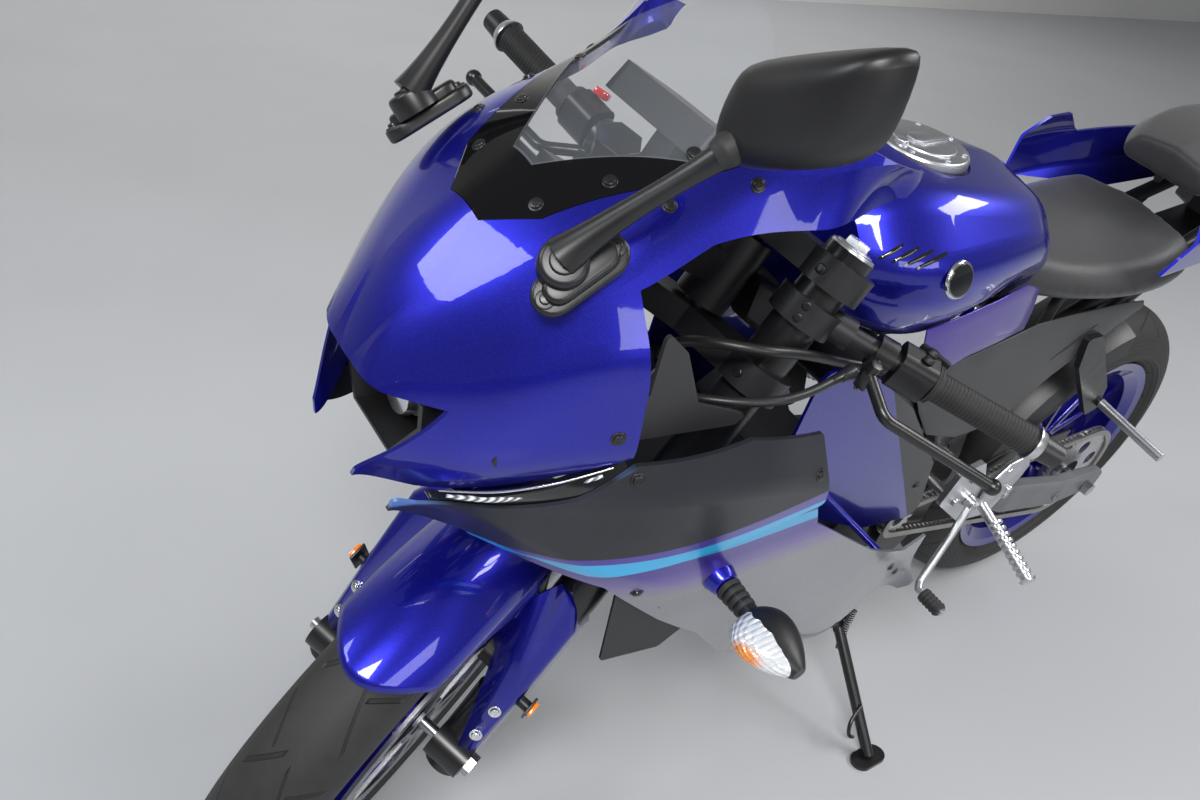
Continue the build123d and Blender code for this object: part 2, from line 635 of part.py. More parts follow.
LEVER_PIVOT = BAR_END - BAR_RUN * (GRIP_LENGTH + 70) + Vector(30, 0, -6)
LEVER_BALL = Vector(975 + 28, 350, 833)
with BuildPart() as lever_left:
    with BuildSketch(on_bar(GRIP_LENGTH + 60)):
        Circle(19)
        Circle(BAR_RADIUS + SHAFT_CLEARANCE, mode=Mode.SUBTRACT)
    extrude(amount=-20)
    add(rod(LEVER_PIVOT + Vector(-26, 0, 5), LEVER_PIVOT, 9))
    add(bent_rod([LEVER_PIVOT, LEVER_PIVOT + Vector(26, 40, -14), LEVER_BALL], [18], 6.5))
    with Locations(LEVER_BALL):
        Sphere(9)
    with BuildSketch(on_bar(GRIP_LENGTH + 100)):
        Circle(BAR_RADIUS + SHAFT_CLEARANCE)
    extrude(amount=90, mode=Mode.SUBTRACT)
keep(both_sides(lever_left.part), "levers", True)

# ---------------------------------------------------------------- front mudguard and brake
GUARD_GAP = 12.0
GUARD_WALL = 3.0
GUARD_HALF = FRONT_TYRE_WIDTH / 2 + 14
GUARD_RADIUS = FRONT_TYRE_RADIUS + GUARD_GAP


def mudguard_ring(hub, half, crown, edge, drop, flare, wall):
    """A full ring with a mudguard's profile: an arched crown, then a straight skirt down each side."""
    with BuildPart() as ring:
        with BuildSketch(Plane(origin=hub, x_dir=(0, 1, 0), z_dir=(1, 0, 0))):
            with BuildLine():
                ThreePointArc((-half, edge), (0, crown), (half, edge))
                Line((half, edge), (half + flare, edge - drop))
                Line((half + flare, edge - drop), (half + flare - wall, edge - drop))
                Line((half + flare - wall, edge - drop), (half - wall, edge - wall))
                ThreePointArc((half - wall, edge - wall), (0, crown - wall), (wall - half, edge - wall))
                Line((wall - half, edge - wall), (wall - half - flare, edge - drop))
                Line((wall - half - flare, edge - drop), (-half - flare, edge - drop))
                Line((-half - flare, edge - drop), (-half, edge))
            make_face()
        revolve(axis=Axis(hub, (0, 1, 0)))
    return ring.part


with BuildPart() as front_mudguard:
    add(mudguard_ring(FRONT_HUB, GUARD_HALF - 4, GUARD_RADIUS + 14, GUARD_RADIUS - 18, 44, 4, GUARD_WALL))
    with BuildSketch(Plane.XZ.offset(-GUARD_HALF - 20)):
        with BuildLine():
            Polyline(
                (FRONT_HUB.X + 128, FRONT_HUB.Z + 500), (FRONT_HUB.X + 118, FRONT_HUB.Z + 250),
                (FRONT_HUB.X + 20, FRONT_HUB.Z + 176), (FRONT_HUB.X - 190, FRONT_HUB.Z + 120),
                (FRONT_HUB.X - 330, FRONT_HUB.Z + 70), (FRONT_HUB.X - 500, FRONT_HUB.Z + 500), close=True,
            )
        make_face()
    extrude(amount=2 * GUARD_HALF + 40, mode=Mode.INTERSECT)
    guard_bolt = on_steering(HUB_ALONG + 184, FORK_OFFSET_YOKE, 0)
    add(side_plate([(FRONT_HUB.X - 50, FRONT_HUB.Z + 262), (FRONT_HUB.X - 160, FRONT_HUB.Z + 214),
                    (guard_bolt.X - 26, guard_bolt.Z - 6), (guard_bolt.X, guard_bolt.Z - 20),
                    (guard_bolt.X + 26, guard_bolt.Z + 4)], GUARD_HALF - 3, GUARD_HALF, 6))
    add(rod((guard_bolt.X, GUARD_HALF - 2, guard_bolt.Z), (guard_bolt.X, FORK_Y - FORK_LEG_RADIUS - 0.3, guard_bolt.Z), 9))
    add(side_plate([(FRONT_HUB.X - 50, FRONT_HUB.Z + 262), (FRONT_HUB.X - 160, FRONT_HUB.Z + 214),
                    (guard_bolt.X - 26, guard_bolt.Z - 6), (guard_bolt.X, guard_bolt.Z - 20),
                    (guard_bolt.X + 26, guard_bolt.Z + 4)], -GUARD_HALF, 3 - GUARD_HALF, 6))
    add(rod((guard_bolt.X, 2 - GUARD_HALF, guard_bolt.Z), (guard_bolt.X, FORK_LEG_RADIUS + 0.3 - FORK_Y, guard_bolt.Z), 9))
keep(front_mudguard.part, "front_mudguard", True)

WING_INNER = FORK_Y + FORK_TUBE_RADIUS + 6
with BuildPart() as fork_guard:
    with BuildSketch(Plane.XZ.offset(-WING_INNER - 4)):
        with BuildLine():
            Polyline(
                (FRONT_HUB.X - 108, FRONT_HUB.Z + 268), (FRONT_HUB.X - 12, FRONT_HUB.Z + 226),
                (FRONT_HUB.X + 58, FRONT_HUB.Z + 60), (FRONT_HUB.X + 4, FRONT_HUB.Z + 52),
                (FRONT_HUB.X - 100, FRONT_HUB.Z + 150), (FRONT_HUB.X - 122, FRONT_HUB.Z + 230), close=True,
            )
        make_face()
        fillet(vertices(), 9)
    extrude(amount=4)
    for along in (HUB_ALONG + 110, HUB_ALONG + 150):
        at = on_steering(along, FORK_OFFSET_YOKE, FORK_Y)
        with BuildSketch(Plane(origin=(at.X, FORK_Y + FORK_LEG_RADIUS, at.Z), z_dir=(0, 1, 0))):
            Circle(7)
        extrude(amount=WING_INNER + 1 - FORK_Y - FORK_LEG_RADIUS)
keep(both_sides(fork_guard.part), "fork_guards", True)

CALIPER_SPAN = 62.0
with BuildPart() as front_caliper:
    turn = 145.0
    spot = FRONT_HUB + Vector(0, 0, FRONT_DISC_RADIUS - 18).rotate(Axis.Y, -turn + 90)
    with BuildSketch(Plane(origin=spot + Vector(0, FRONT_DISC_Y - 16, 0), z_dir=(0, 1, 0), x_dir=(spot - FRONT_HUB))):
        RectangleRounded(58, 112, 14)
    extrude(amount=CALIPER_SPAN - 8)
    with BuildSketch(Plane(origin=FRONT_HUB + Vector(0, FRONT_DISC_Y - 3, 0), z_dir=(0, 1, 0))):
        Circle(FRONT_DISC_RADIUS + 3)
    extrude(amount=DISC_THICKNESS + 6, mode=Mode.SUBTRACT)
    with BuildSketch(steering_plane(HUB_ALONG - 60, FORK_OFFSET_YOKE, FORK_Y)):
        Circle(FORK_LEG_RADIUS + SHAFT_CLEARANCE)
    extrude(amount=400, mode=Mode.SUBTRACT)
keep(front_caliper.part, "front_caliper", True)

# ---------------------------------------------------------------- frame
PLATE_INNER = PIVOT_HALF + SEAM
PLATE_OUTER = PLATE_INNER + 14
SPAR_WIDTH = 28.0
HEAD_AT = on_steering(sum(HEAD_TUBE) / 2)
SPAR_SECTIONS = (
    # x, centre y, centre z, height
    (HEAD_AT.X - 18, 24, HEAD_AT.Z - 20, 56),
    (800, 98, 712, 80),
    (600, 98, 630, 90),
    (478, PLATE_OUTER - 14, 500, 70),
)
SUBFRAME_TUBES = (
    ((600, 84, 640), (-150, 50, 880)),
    ((470, 66, 500), (40, 59, 815)),
)
TANK_REST = 757.0
STAND_PIVOT = Vector(575, 106, 192)
FLOOR_UP = parked_floor(Vector(0, 0, 0))[1]
STAND_FOOT = parked_floor(Vector(601, 288, 0))[0]
STAND_PLATE = 6.0
STAND_HEAD = 15.0
STAND_THICKNESS = 10.0
STAND_PIN = 5.0
STAND_DOWN = (STAND_FOOT + FLOOR_UP * STAND_PLATE - STAND_PIVOT).normalized()
STAND_FOLDED = Vector(-0.99, 0.06, -0.03).normalized()
STAND_AXIS = STAND_DOWN.cross(STAND_FOLDED).normalized()
STAND_BACK = (STAND_DOWN + STAND_FOLDED).normalized() * -1


def stand_plane(across):
    return Plane(origin=STAND_PIVOT + STAND_AXIS * across, x_dir=STAND_BACK, z_dir=STAND_AXIS)


with BuildPart() as main_frame:
    with BuildSketch(steering_plane(HEAD_TUBE[0])):
        Circle(30)
    extrude(amount=HEAD_TUBE[1] - HEAD_TUBE[0])
    for x, y, z, height in SPAR_SECTIONS:
        with BuildSketch(Plane(origin=(x, y, z), x_dir=(0, 1, 0), z_dir=(1, 0, 0))):
            RectangleRounded(SPAR_WIDTH, height, 9)
    loft(ruled=True)
    add(side_plate([(512, 530), (440, 530), (408, 440), (408, 300), (460, 230), (512, 300)], PLATE_INNER, PLATE_OUTER, 14))
    for start, end in SUBFRAME_TUBES:
        add(rod(start, end, 12))
    add(side_plate([(588, 650), (612, 650), (606, TANK_REST), (594, TANK_REST)], 86, 92, 0))
    add(side_plate([(594, TANK_REST - 6), (606, TANK_REST - 6), (606, TANK_REST), (594, TANK_REST)], 40, 90, 0))
    mirror(about=Plane.XZ)
    for x, z, radius, half in ((560, 596, 15, 96), (440, 262, 12, 70), (190, 705, 10, 62), (-90, 860.8, 10, 53)):
        with BuildSketch(Plane.XZ.offset(-half)):
            with Locations((x, z)):
                Circle(radius)
        extrude(amount=2 * half)
    for side in (1, -1):
        with BuildSketch(stand_plane(side * (STAND_THICKNESS / 2 + SHAFT_CLEARANCE))):
            with Locations((9, 0)):
                SlotOverall(2 * STAND_HEAD + 18, 2 * STAND_HEAD)
        extrude(amount=side * 5)
    with BuildSketch(stand_plane(-STAND_THICKNESS / 2 - 4)):
        Circle(STAND_PIN)
    extrude(amount=STAND_THICKNESS + 8)
    with BuildSketch(stand_plane(-STAND_THICKNESS / 2 - 5)):
        with Locations((26, 0)):
            RectangleRounded(16, 28, 4)
    extrude(amount=STAND_THICKNESS + 10)
    add(rod(STAND_PIVOT + STAND_BACK * 26, (440, 60, 262), 9))
    with BuildSketch(steering_plane(HEAD_TUBE[0] - 5)):
        Circle(STEM_RADIUS + SHAFT_CLEARANCE)
    extrude(amount=HEAD_TUBE[1] - HEAD_TUBE[0] + 10, mode=Mode.SUBTRACT)
    with Locations(Plane(origin=SWINGARM_PIVOT + Vector(0, 140, 0), z_dir=(0, 1, 0))):
        Hole(PIVOT_RADIUS + SHAFT_CLEARANCE)
keep(main_frame.part, "main_frame")

BOLT_HEAD = 5.0
with BuildPart() as swingarm_bolt:
    with BuildSketch(Plane(origin=SWINGARM_PIVOT + Vector(0, -PLATE_OUTER - BOLT_HEAD, 0), z_dir=(0, 1, 0))):
        Circle(PIVOT_RADIUS)
    extrude(amount=2 * (PLATE_OUTER + BOLT_HEAD))
    for side in (1, -1):
        with BuildSketch(Plane(origin=SWINGARM_PIVOT + Vector(0, side * PLATE_OUTER, 0), z_dir=(0, side, 0))):
            RegularPolygon(13, 6)
        extrude(amount=BOLT_HEAD)
keep(swingarm_bolt.part, "swingarm_bolt")

# ---------------------------------------------------------------- engine, radiator, exhaust
with BuildPart() as engine:
    with BuildSketch(Plane.XZ.offset(-66)):
        with BuildLine():
            Polyline(
                (550, 470), (700, 500), (836, 452), (850, 330), (790, 242), (620, 212), (560, 240), (556, 300), close=True
            )
        make_face()
        fillet(vertices(), 22)
    extrude(amount=132)
    with BuildSketch(Plane(origin=(740, 0, 400), x_dir=(0, 1, 0), z_dir=(0.62, 0, 0.78))):
        RectangleRounded(130, 150, 20)
    extrude(amount=172)
    with BuildSketch(Plane(origin=(846, 0, 534), x_dir=(0, 1, 0), z_dir=(0.62, 0, 0.78))):
        RectangleRounded(150, 132, 12)
    extrude(amount=80)
    for centre, radius, side, depth in (((762, 345), 74, 1, 44), ((612, 345), 58, 1, 12), ((700, 340), 98, -1, 40)):
        with BuildSketch(Plane(origin=(centre[0], side * 60, centre[1]), z_dir=(0, side, 0))):
            Circle(radius)
        extrude(amount=depth, taper=4)
    for low, high, half in ((272, 326, PLATE_INNER - 0.3), (478, 520, SPAR_SECTIONS[3][1] - SPAR_WIDTH / 2 - 0.3)):
        add(side_plate([(480, low), (572, low), (572, high), (480, high)], -half, half, 12))
keep(engine.part, "engine")

with BuildPart() as radiator:
    with BuildSketch(Plane(origin=(985, 0, 545), x_dir=(0, 1, 0), z_dir=(0.97, 0, 0.24))):
        RectangleRounded(230, 190, 8)
    extrude(amount=-32)
    for y in (-108, 108):
        with BuildSketch(Plane(origin=(985, y, 545), x_dir=(0, 1, 0), z_dir=(0.97, 0, 0.24))):
            RectangleRounded(30, 206, 8)
        extrude(amount=-38)
    for y in (-50, 50):
        add(rod((960, y, 560), (905, y, 560), 8))
    add(engine.part, mode=Mode.SUBTRACT)
keep(radiator.part, "radiator")

MUFFLER_AXIS = Vector(-0.93, 0, 0.37).normalized()
MUFFLER_START = Vector(292, -171, 284)
MUFFLER_LENGTH = 250.0


def muffler_plane(distance):
    return Plane(origin=MUFFLER_START + MUFFLER_AXIS * distance, x_dir=(0, 1, 0), z_dir=MUFFLER_AXIS)


with BuildPart() as exhaust:
    add(bent_rod([(907.5, -20, 501), (940, -24, 474), (942, -28, 400), (918, -40, 196), (760, -52, 180), (560, -62, 182),
                  (430, -74, 206), (352, -156, 258), MUFFLER_START], [16, 40, 90, 60, 90, 60, 40], 16))
    with BuildSketch(muffler_plane(-34)):
        Circle(22)
    with BuildSketch(muffler_plane(16)):
        Ellipse(40, 54)
    loft()
    with BuildSketch(muffler_plane(16)):
        Ellipse(40, 54)
    extrude(amount=MUFFLER_LENGTH - 16)
    with BuildSketch(muffler_plane(MUFFLER_LENGTH)):
        Ellipse(36, 50)
    extrude(amount=16, taper=12)
    with BuildSketch(muffler_plane(MUFFLER_LENGTH + 16)):
        Circle(20)
    extrude(amount=-30, mode=Mode.SUBTRACT)
    add(engine.part, mode=Mode.SUBTRACT)
keep(exhaust.part, "exhaust")

# ---------------------------------------------------------------- cowl surfaces
# Half sections across the machine, (half width, height) from the bottom edge up to the centre line.
NOSE_SECTIONS = (
    (1424, ((40, 704), (60, 748), (62, 790), (40, 808), (0, 812))),
    (1388, ((72, 712), (98, 768), (96, 822), (62, 872), (0, 892))),
    (1346, ((112, 728), (138, 786), (136, 850), (92, 918), (0, 944))),
    (1300, ((140, 745), (164, 800), (162, 886), (112, 962), (0, 984))),
    (1220, ((176, 765), (192, 815), (188, 900), (118, 1004), (0, 1050))),
    (1120, ((178, 790), (194, 850), (190, 935), (128, 1056), (0, 1128))),
    (1000, ((178, 810), (194, 860), (190, 950), (152, 1068), (0, 1180))),
)
SIDE_SECTIONS = (
    (1404, ((56, 676), (76, 702), (80, 724), (66, 744))),
    (1300, ((112, 632), (150, 696), (163, 762), (136, 808))),
    (1200, ((150, 548), (188, 640), (204, 765), (176, 832))),
    (1050, ((160, 400), (196, 560), (214, 745), (184, 812))),
    (900, ((128, 250), (190, 430), (206, 660), (176, 748))),
    (700, ((96, 160), (172, 300), (190, 520), (160, 626))),
    (480, ((84, 158), (146, 262), (160, 420), (134, 506))),
)
NOSE_FILLET = 90.0
SIDE_FILLET = 40.0
WING_OUTSET = PANEL + 2.4


def from_side(outline, radius=0.0, near=-340.0, far=340.0):
    """A block with an outline seen from the side, to cut a panel from a wall."""
    return side_plate(outline, near, far, radius)


nose_wall = panel_loft(NOSE_SECTIONS, NOSE_FILLET, 0, -PANEL, both=True)
nose_clear = panel_loft(NOSE_SECTIONS, NOSE_FILLET, 0.4, -PANEL - 0.4, both=True)
side_clear = panel_loft(SIDE_SECTIONS, SIDE_FILLET, 0.5, -PANEL - 0.6)
SCREEN_PLAN = ((1334, 24), (1302, 62), (1250, 84), (1217, 98), (1153, 112), (960, 146))
NOSE_OUTLINE = ((1440, 812), (1378, 826), (1430, 712), (1384, 724), (1242, 806), (1256, 952), (1190, 982),
                (1100, 1004), (1024, 1030), (1014, 1052), (1080, 1070), (1150, 1074), (1220, 1110), (1440, 1110))
SCREEN_OUTLINE = ((1440, 900), (1440, 1300), (1104, 1300), (1100, 1120), (1128, 1064), (1150, 1040), (1220, 980))


def screen_hole(gap):
    """The block that the windscreen fills, seen from above, made smaller all round by a gap."""
    with BuildPart() as block:
        with BuildSketch(Plane.XY.offset(860)):
            with BuildLine():
                Polyline(*SCREEN_PLAN, *[(x, -y) for x, y in reversed(SCREEN_PLAN)], close=True)
            make_face()
            if gap:
                offset(amount=-gap, kind=Kind.INTERSECTION)
        extrude(amount=400)
    return block.part


with BuildPart() as upper_cowl:
    add(nose_wall)
    add(from_side(NOSE_OUTLINE), mode=Mode.INTERSECT)
    add(screen_hole(0), mode=Mode.SUBTRACT)
keep(upper_cowl.part, "upper_cowl")
with BuildPart() as windscreen:
    add(nose_wall)
    add(from_side(SCREEN_OUTLINE), mode=Mode.INTERSECT)
    add(screen_hole(SEAM), mode=Mode.INTERSECT)
keep(windscreen.part, "windscreen")

WING_OUTLINE = ((1408, 698), (1402, 716), (1384, 716), (1330, 738), (1282, 764), (1236, 798), (1120, 808), (1010, 782), (976, 690),
                (1100, 672), (1240, 648), (1330, 676))
LOWER_OUTLINE = ((1352, 690), (1200, 760), (1020, 760), (950, 640), (780, 520), (640, 440), (570, 430),
                 (510, 320), (456, 240), (640, 226), (760, 222), (928, 336), (1024, 448), (1110, 520),
                 (1206, 610), (1330, 664))
with BuildPart() as wing:
    add(panel_loft(SIDE_SECTIONS, SIDE_FILLET, WING_OUTSET, WING_OUTSET - PANEL))
    add(from_side(WING_OUTLINE, 6), mode=Mode.INTERSECT)
    for x, z in ((1150, 710), (1040, 705)):
        out = mid_wall(wing.part, x, z)
        add(rod((x, out - WING_OUTSET - PANEL / 2, z), (x, out, z), 8))
    add(side_clear, mode=Mode.SUBTRACT)
with BuildPart() as side_cowl:
    add(panel_loft(SIDE_SECTIONS, SIDE_FILLET, 0, -PANEL))
    add(from_side(LOWER_OUTLINE, 6), mode=Mode.INTERSECT)
keep(both_sides(wing.part), "wing_panels")
keep(both_sides(side_cowl.part), "side_cowls")

LAMP_OUTLINE = ((1386, 719), (1300, 768), (1244, 800), (1240, 782), (1300, 744), (1352, 720))
with BuildPart() as running_lamp:
    add(panel_loft(SIDE_SECTIONS, SIDE_FILLET, WING_OUTSET - PANEL - 0.7, WING_OUTSET - PANEL - 9))
    add(from_side(LAMP_OUTLINE, 3), mode=Mode.INTERSECT)
keep(both_sides(running_lamp.part), "running_lamps")

with BuildPart() as inner_boss:
    add(rod((1252, 166, 832), (1252, mid_wall(upper_cowl.part, 1252, 832), 832), 7))
    add(nose_clear, mode=Mode.SUBTRACT)
with BuildPart() as lower_boss:
    add(rod((1120, 155, 560), (1120, mid_wall(side_cowl.part, 1120, 560), 560), 8))
    add(side_clear, mode=Mode.SUBTRACT)
with BuildPart() as inner_panel:
    add(side_plate([(1264, 814), (1264, 850), (1232, 860), (1236, 926), (1206, 900), (1170, 836), (1100, 806),
                    (1110, 796)], 164, 168, 4))
    add(side_plate([(1176, 640), (1150, 440), (1060, 420), (1020, 450), (1060, 620)], 154, 157, 8))
    add(inner_boss.part)
    add(lower_boss.part)
keep(both_sides(inner_panel.part), "inner_panels")

with BuildPart() as side_panel:
    add(side_plate([(950, 786), (900, 796), (740, 690), (610, 560), (566, 440), (700, 462), (950, 590)], 126, 130, 20))
    for x, z in ((735, 660), (790, 700)):
        add(rod((x, SPAR_SECTIONS[1][1] + SPAR_WIDTH / 2, z), (x, 127, z), 9))
    for x, z in ((900, 589), (730, 483)):
        add(rod((x, 128, z), (x, mid_wall(side_cowl.part, x, z), z), 5))
    add(side_clear, mode=Mode.SUBTRACT)
keep(both_sides(side_panel.part), "side_panels")

# ---------------------------------------------------------------- lamps in the nose
with BuildPart() as nose_duct:
    for x, grow in ((1388, 1.0), (1312, 0.86)):
        with BuildSketch(Plane.YZ.offset(x)):
            with BuildLine():
                Polyline(*[(y * grow, 766 + (z - 766) * grow) for y, z in (
                    (-40, 724), (40, 724), (84, 790), (80, 814), (40, 800), (-40, 800), (-80, 814), (-84, 790))], close=True)
            make_face()
    loft()
    for x, grow in ((1388, 0.92), (1330, 0.8)):
        with BuildSketch(Plane.YZ.offset(x)):
            with BuildLine():
                Polyline(*[(y * grow, 766 + (z - 766) * grow) for y, z in (
                    (-40, 724), (40, 724), (84, 790), (80, 814), (40, 800), (-40, 800), (-80, 814), (-84, 790))], close=True)
            make_face()
    loft(mode=Mode.SUBTRACT)
    for side in (1, -1):
        add(rod((1342, side * 74, 792), (1342, side * mid_wall(upper_cowl.part, 1342, 792), 792), 7))
    add(nose_clear, mode=Mode.SUBTRACT)
keep(nose_duct.part, "nose_duct")
with BuildPart() as headlamp:
    with BuildSketch(Plane.YZ.offset(1330 + SEAM)):
        with Locations((0, 762)):
            Circle(27)
    extrude(amount=22)
    with BuildSketch(Plane.YZ.offset(1352 + SEAM)):
        with Locations((0, 762)):
            Circle(22)
    extrude(amount=9, taper=25)
keep(headlamp.part, "headlamp")

# ---------------------------------------------------------------- mirrors and indicators
NOSE_BODY = [(x, ((0, half[0][1] - 40), *half)) for x, half in NOSE_SECTIONS]
nose_body = hull(NOSE_BODY, NOSE_FILLET, 0.5)
MIRROR_KNOB = Vector(1322, 126, 974)
MIRROR_ELBOW = Vector(1240, 168, 1083)
MIRROR_OUTLINE = ((133, 1077), (141, 1132), (152, 1142), (247, 1194), (258, 1193), (262, 1139), (252, 1121), (233, 1102), (182, 1073), (154, 1062))
MIRROR_MIDDLE = (196, 1124)
with BuildPart() as mirror_left:
    with BuildSketch(Plane(origin=(1302, 124, 962), x_dir=(0.8, 0, -0.6), z_dir=(0.45, 0.55, 0.7))):
        SlotOverall(84, 38)
    extrude(amount=12, taper=8)
    with BuildSketch(Plane(origin=(1302, 124, 962), x_dir=(0.8, 0, -0.6), z_dir=(0.45, 0.55, 0.7))):
        SlotOverall(84, 38)
    extrude(amount=-30)
    add(nose_body, mode=Mode.SUBTRACT)
    with BuildSketch(Plane(origin=MIRROR_KNOB - Vector(3, 4, 6), z_dir=(0.45, 0.55, 0.7))):
        Circle(20)
    extrude(amount=22)
    add(rod(MIRROR_KNOB + Vector(0, 2, 4), MIRROR_ELBOW, 8.5))
    with Locations(MIRROR_ELBOW):
        Sphere(13)
    for x, grow in ((1246, 0.55), (1232, 0.9), (1206, 1.0)):
        with BuildSketch(Plane.YZ.offset(x)):
            with BuildLine():
                Polyline(*[(MIRROR_MIDDLE[0] + (y - MIRROR_MIDDLE[0]) * grow,
                            MIRROR_MIDDLE[1] + (z - MIRROR_MIDDLE[1]) * grow) for y, z in MIRROR_OUTLINE], close=True)
            make_face()
    loft(ruled=True)
keep(both_sides(mirror_left.part), "mirrors")

INDICATOR_AT = Vector(1073, 206, 600)
with BuildPart() as indicator:
    add(rod((INDICATOR_AT.X, mid_wall(side_cowl.part, INDICATOR_AT.X, INDICATOR_AT.Z), INDICATOR_AT.Z),
            INDICATOR_AT + Vector(0, 52, 0), 11))
    add(side_clear, mode=Mode.SUBTRACT)
    for across, wide, high in ((48, 15, 13), (66, 34, 20), (100, 26, 17), (124, 8, 8)):
        with BuildSketch(Plane.XZ.offset(-INDICATOR_AT.Y - across)):
            with Locations((INDICATOR_AT.X, INDICATOR_AT.Z)):
                Ellipse(wide, high)
    loft()
keep(both_sides(indicator.part), "front_indicators")

# ---------------------------------------------------------------- cowl stay and instruments
STAY_AT = 940.0
STAY_END = 286.0
stay_tip = on_steering(STAY_AT, STAY_END)
stay_half = mid_wall(upper_cowl.part, stay_tip.X, stay_tip.Z)
with BuildPart() as stay_bar:
    add(rod(stay_tip - Vector(0, stay_half - 15, 0), stay_tip + Vector(0, stay_half - 15, 0), 9))
    add(nose_clear, mode=Mode.SUBTRACT)
with BuildPart() as cowl_stay:
    with BuildSketch(steering_plane(STAY_AT - 17, 31 + (STAY_END - 31) / 2)):
        Rectangle(STAY_END - 31, 36)
    extrude(amount=34)
    add(stay_bar.part)
    with BuildSketch(steering_plane(STAY_AT + 10, 168)):
        Rectangle(40, 30)
    extrude(amount=72)
keep(cowl_stay.part, "cowl_stay")
with BuildPart() as dashboard:
    with BuildSketch(steering_plane(STAY_AT + 82 + SEAM, 172)):
        RectangleRounded(92, 160, 18)
    extrude(amount=30, taper=8)
keep(dashboard.part, "dashboard")

# ---------------------------------------------------------------- tank, seats, tail
TANK_SECTIONS = (
    (914, ((0, 812), (60, 818), (88, 852), (92, 896), (52, 936), (0, 944))),
    (866, ((0, 796), (92, 802), (126, 858), (130, 904), (74, 960), (0, 972))),
    (760, ((0, 764), (96, 776), (138, 850), (148, 912), (96, 962), (0, 974))),
    (660, ((0, 766), (78, 776), (112, 840), (140, 906), (92, 948), (0, 962))),
    (560, ((0, 766), (60, 772), (80, 800), (96, 838), (64, 900), (0, 912))),
)
CAP_AT = Vector(772, 0, 973)
CAP_RADIUS = 56.0
with BuildPart() as fuel_tank:
    add(hull(TANK_SECTIONS, 60))
    for side in (1, -1):
        for x, y, z, height in SPAR_SECTIONS[:3]:
            with BuildSketch(Plane(origin=(x, side * y, z), x_dir=(0, 1, 0), z_dir=(1, 0, 0))):
                Rectangle(SPAR_WIDTH + 12, height + 16)
        loft(ruled=True, mode=Mode.SUBTRACT)
    with BuildSketch(Plane(origin=CAP_AT - Vector(0, 0, 14))):
        Circle(CAP_RADIUS + 3)
    extrude(amount=60, mode=Mode.SUBTRACT)
    with BuildSketch(Plane(origin=CAP_AT - Vector(0, 0, 50))):
        Circle(30)
    extrude(amount=60, mode=Mode.SUBTRACT)
    for y in (-56, 56):
        add(rod((600, y, 790), (600, y, TANK_REST + 0.3), 8))
keep(fuel_tank.part, "fuel_tank")
with BuildPart() as fuel_cap:
    with BuildSketch(Plane(origin=CAP_AT - Vector(0, 0, 13.5))):
        Circle(CAP_RADIUS)
    extrude(amount=15, taper=6)
keep(fuel_cap.part, "fuel_cap")

SEAT_SECTIONS = (
    (548, ((0, 776), (54, 780), (68, 800), (54, 836), (0, 846))),
    (440, ((0, 770), (92, 776), (108, 794), (84, 822), (0, 832))),
    (260, ((0, 778), (118, 784), (134, 802), (108, 834), (0, 842))),
    (186, ((0, 786), (108, 792), (118, 812), (96, 846), (0, 858))),
)
with BuildPart() as rider_seat:
    add(hull(SEAT_SECTIONS, 30))
    for x, y in ((420, 75.8), (260, 68.6)):
        for side in (1, -1):
            add(rod((x, side * y, 790), (x, side * y, 640 + (600 - x) * 0.32), 9))
    add(main_frame.part, mode=Mode.SUBTRACT)
keep(rider_seat.part, "rider_seat")
PILLION_SECTIONS = (
    (176, ((60, 892), (70, 906), (54, 930), (0, 938))),
    (60, ((100, 902), (112, 920), (90, 950), (0, 960))),
    (-90, ((86, 916), (98, 934), (76, 962), (0, 970))),
    (-190, ((52, 926), (60, 938), (44, 956), (0, 962))),
)
with BuildPart() as pillion_seat:
    add(hull(PILLION_SECTIONS, 24))
    for side in (1, -1):
        add(rod((20, side * 57.7, 915), (20, side * 57.7, 640 + 580 * 0.32), 9))
    add(main_frame.part, mode=Mode.SUBTRACT)
keep(pillion_seat.part, "pillion_seat")

TAIL_SECTIONS = (
    (340, ((112, 796), (140, 824), (150, 880), (128, 934), (0, 950))),
    (200, ((104, 806), (138, 836), (150, 896), (122, 936), (0, 950))),
    (0, ((90, 822), (120, 850), (124, 900), (104, 932), (0, 946))),
    (-160, ((60, 854), (84, 874), (84, 914), (66, 934), (0, 942))),
    (-262, ((36, 876), (52, 890), (50, 922), (34, 936), (0, 942))),
)
with BuildPart() as tail_cowl:
    add(panel_loft(TAIL_SECTIONS, 14, 0, -PANEL, both=True))
    add(side_plate([(330, 830), (300, 925), (262, 932), (206, 905), (176, 889), (60, 899), (-90, 913), (-196, 923),
                    (-230, 975), (-300, 975), (-300, 860), (60, 812)], -240, 240), mode=Mode.INTERSECT)
    for side in (1, -1):
        add(rod((-80, side * 53, 868), (-80, side * 101, 868), 7))
    add(main_frame.part, mode=Mode.SUBTRACT)
keep(tail_cowl.part, "tail_cowl")
with BuildPart() as tail_lamp:
    with BuildSketch(Plane.YZ.offset(-263)):
        with Locations((0, 896)):
            RectangleRounded(84, 34, 8)
    extrude(amount=-14, taper=10)
keep(tail_lamp.part, "tail_lamp")
with BuildPart() as plate_holder:
    add(side_plate([(40, 784), (-150, 810), (-230, 846), (-300, 770), (-400, 640), (-409, 610), (-396, 606),
                    (-290, 730), (-220, 800), (-130, 786), (40, 764)], -38, 38, 0))
    add(side_plate([(-106, 790), (-74, 790), (-82, 850.5), (-98, 850.5)], -30, 30, 0))
keep(plate_holder.part, "plate_holder")
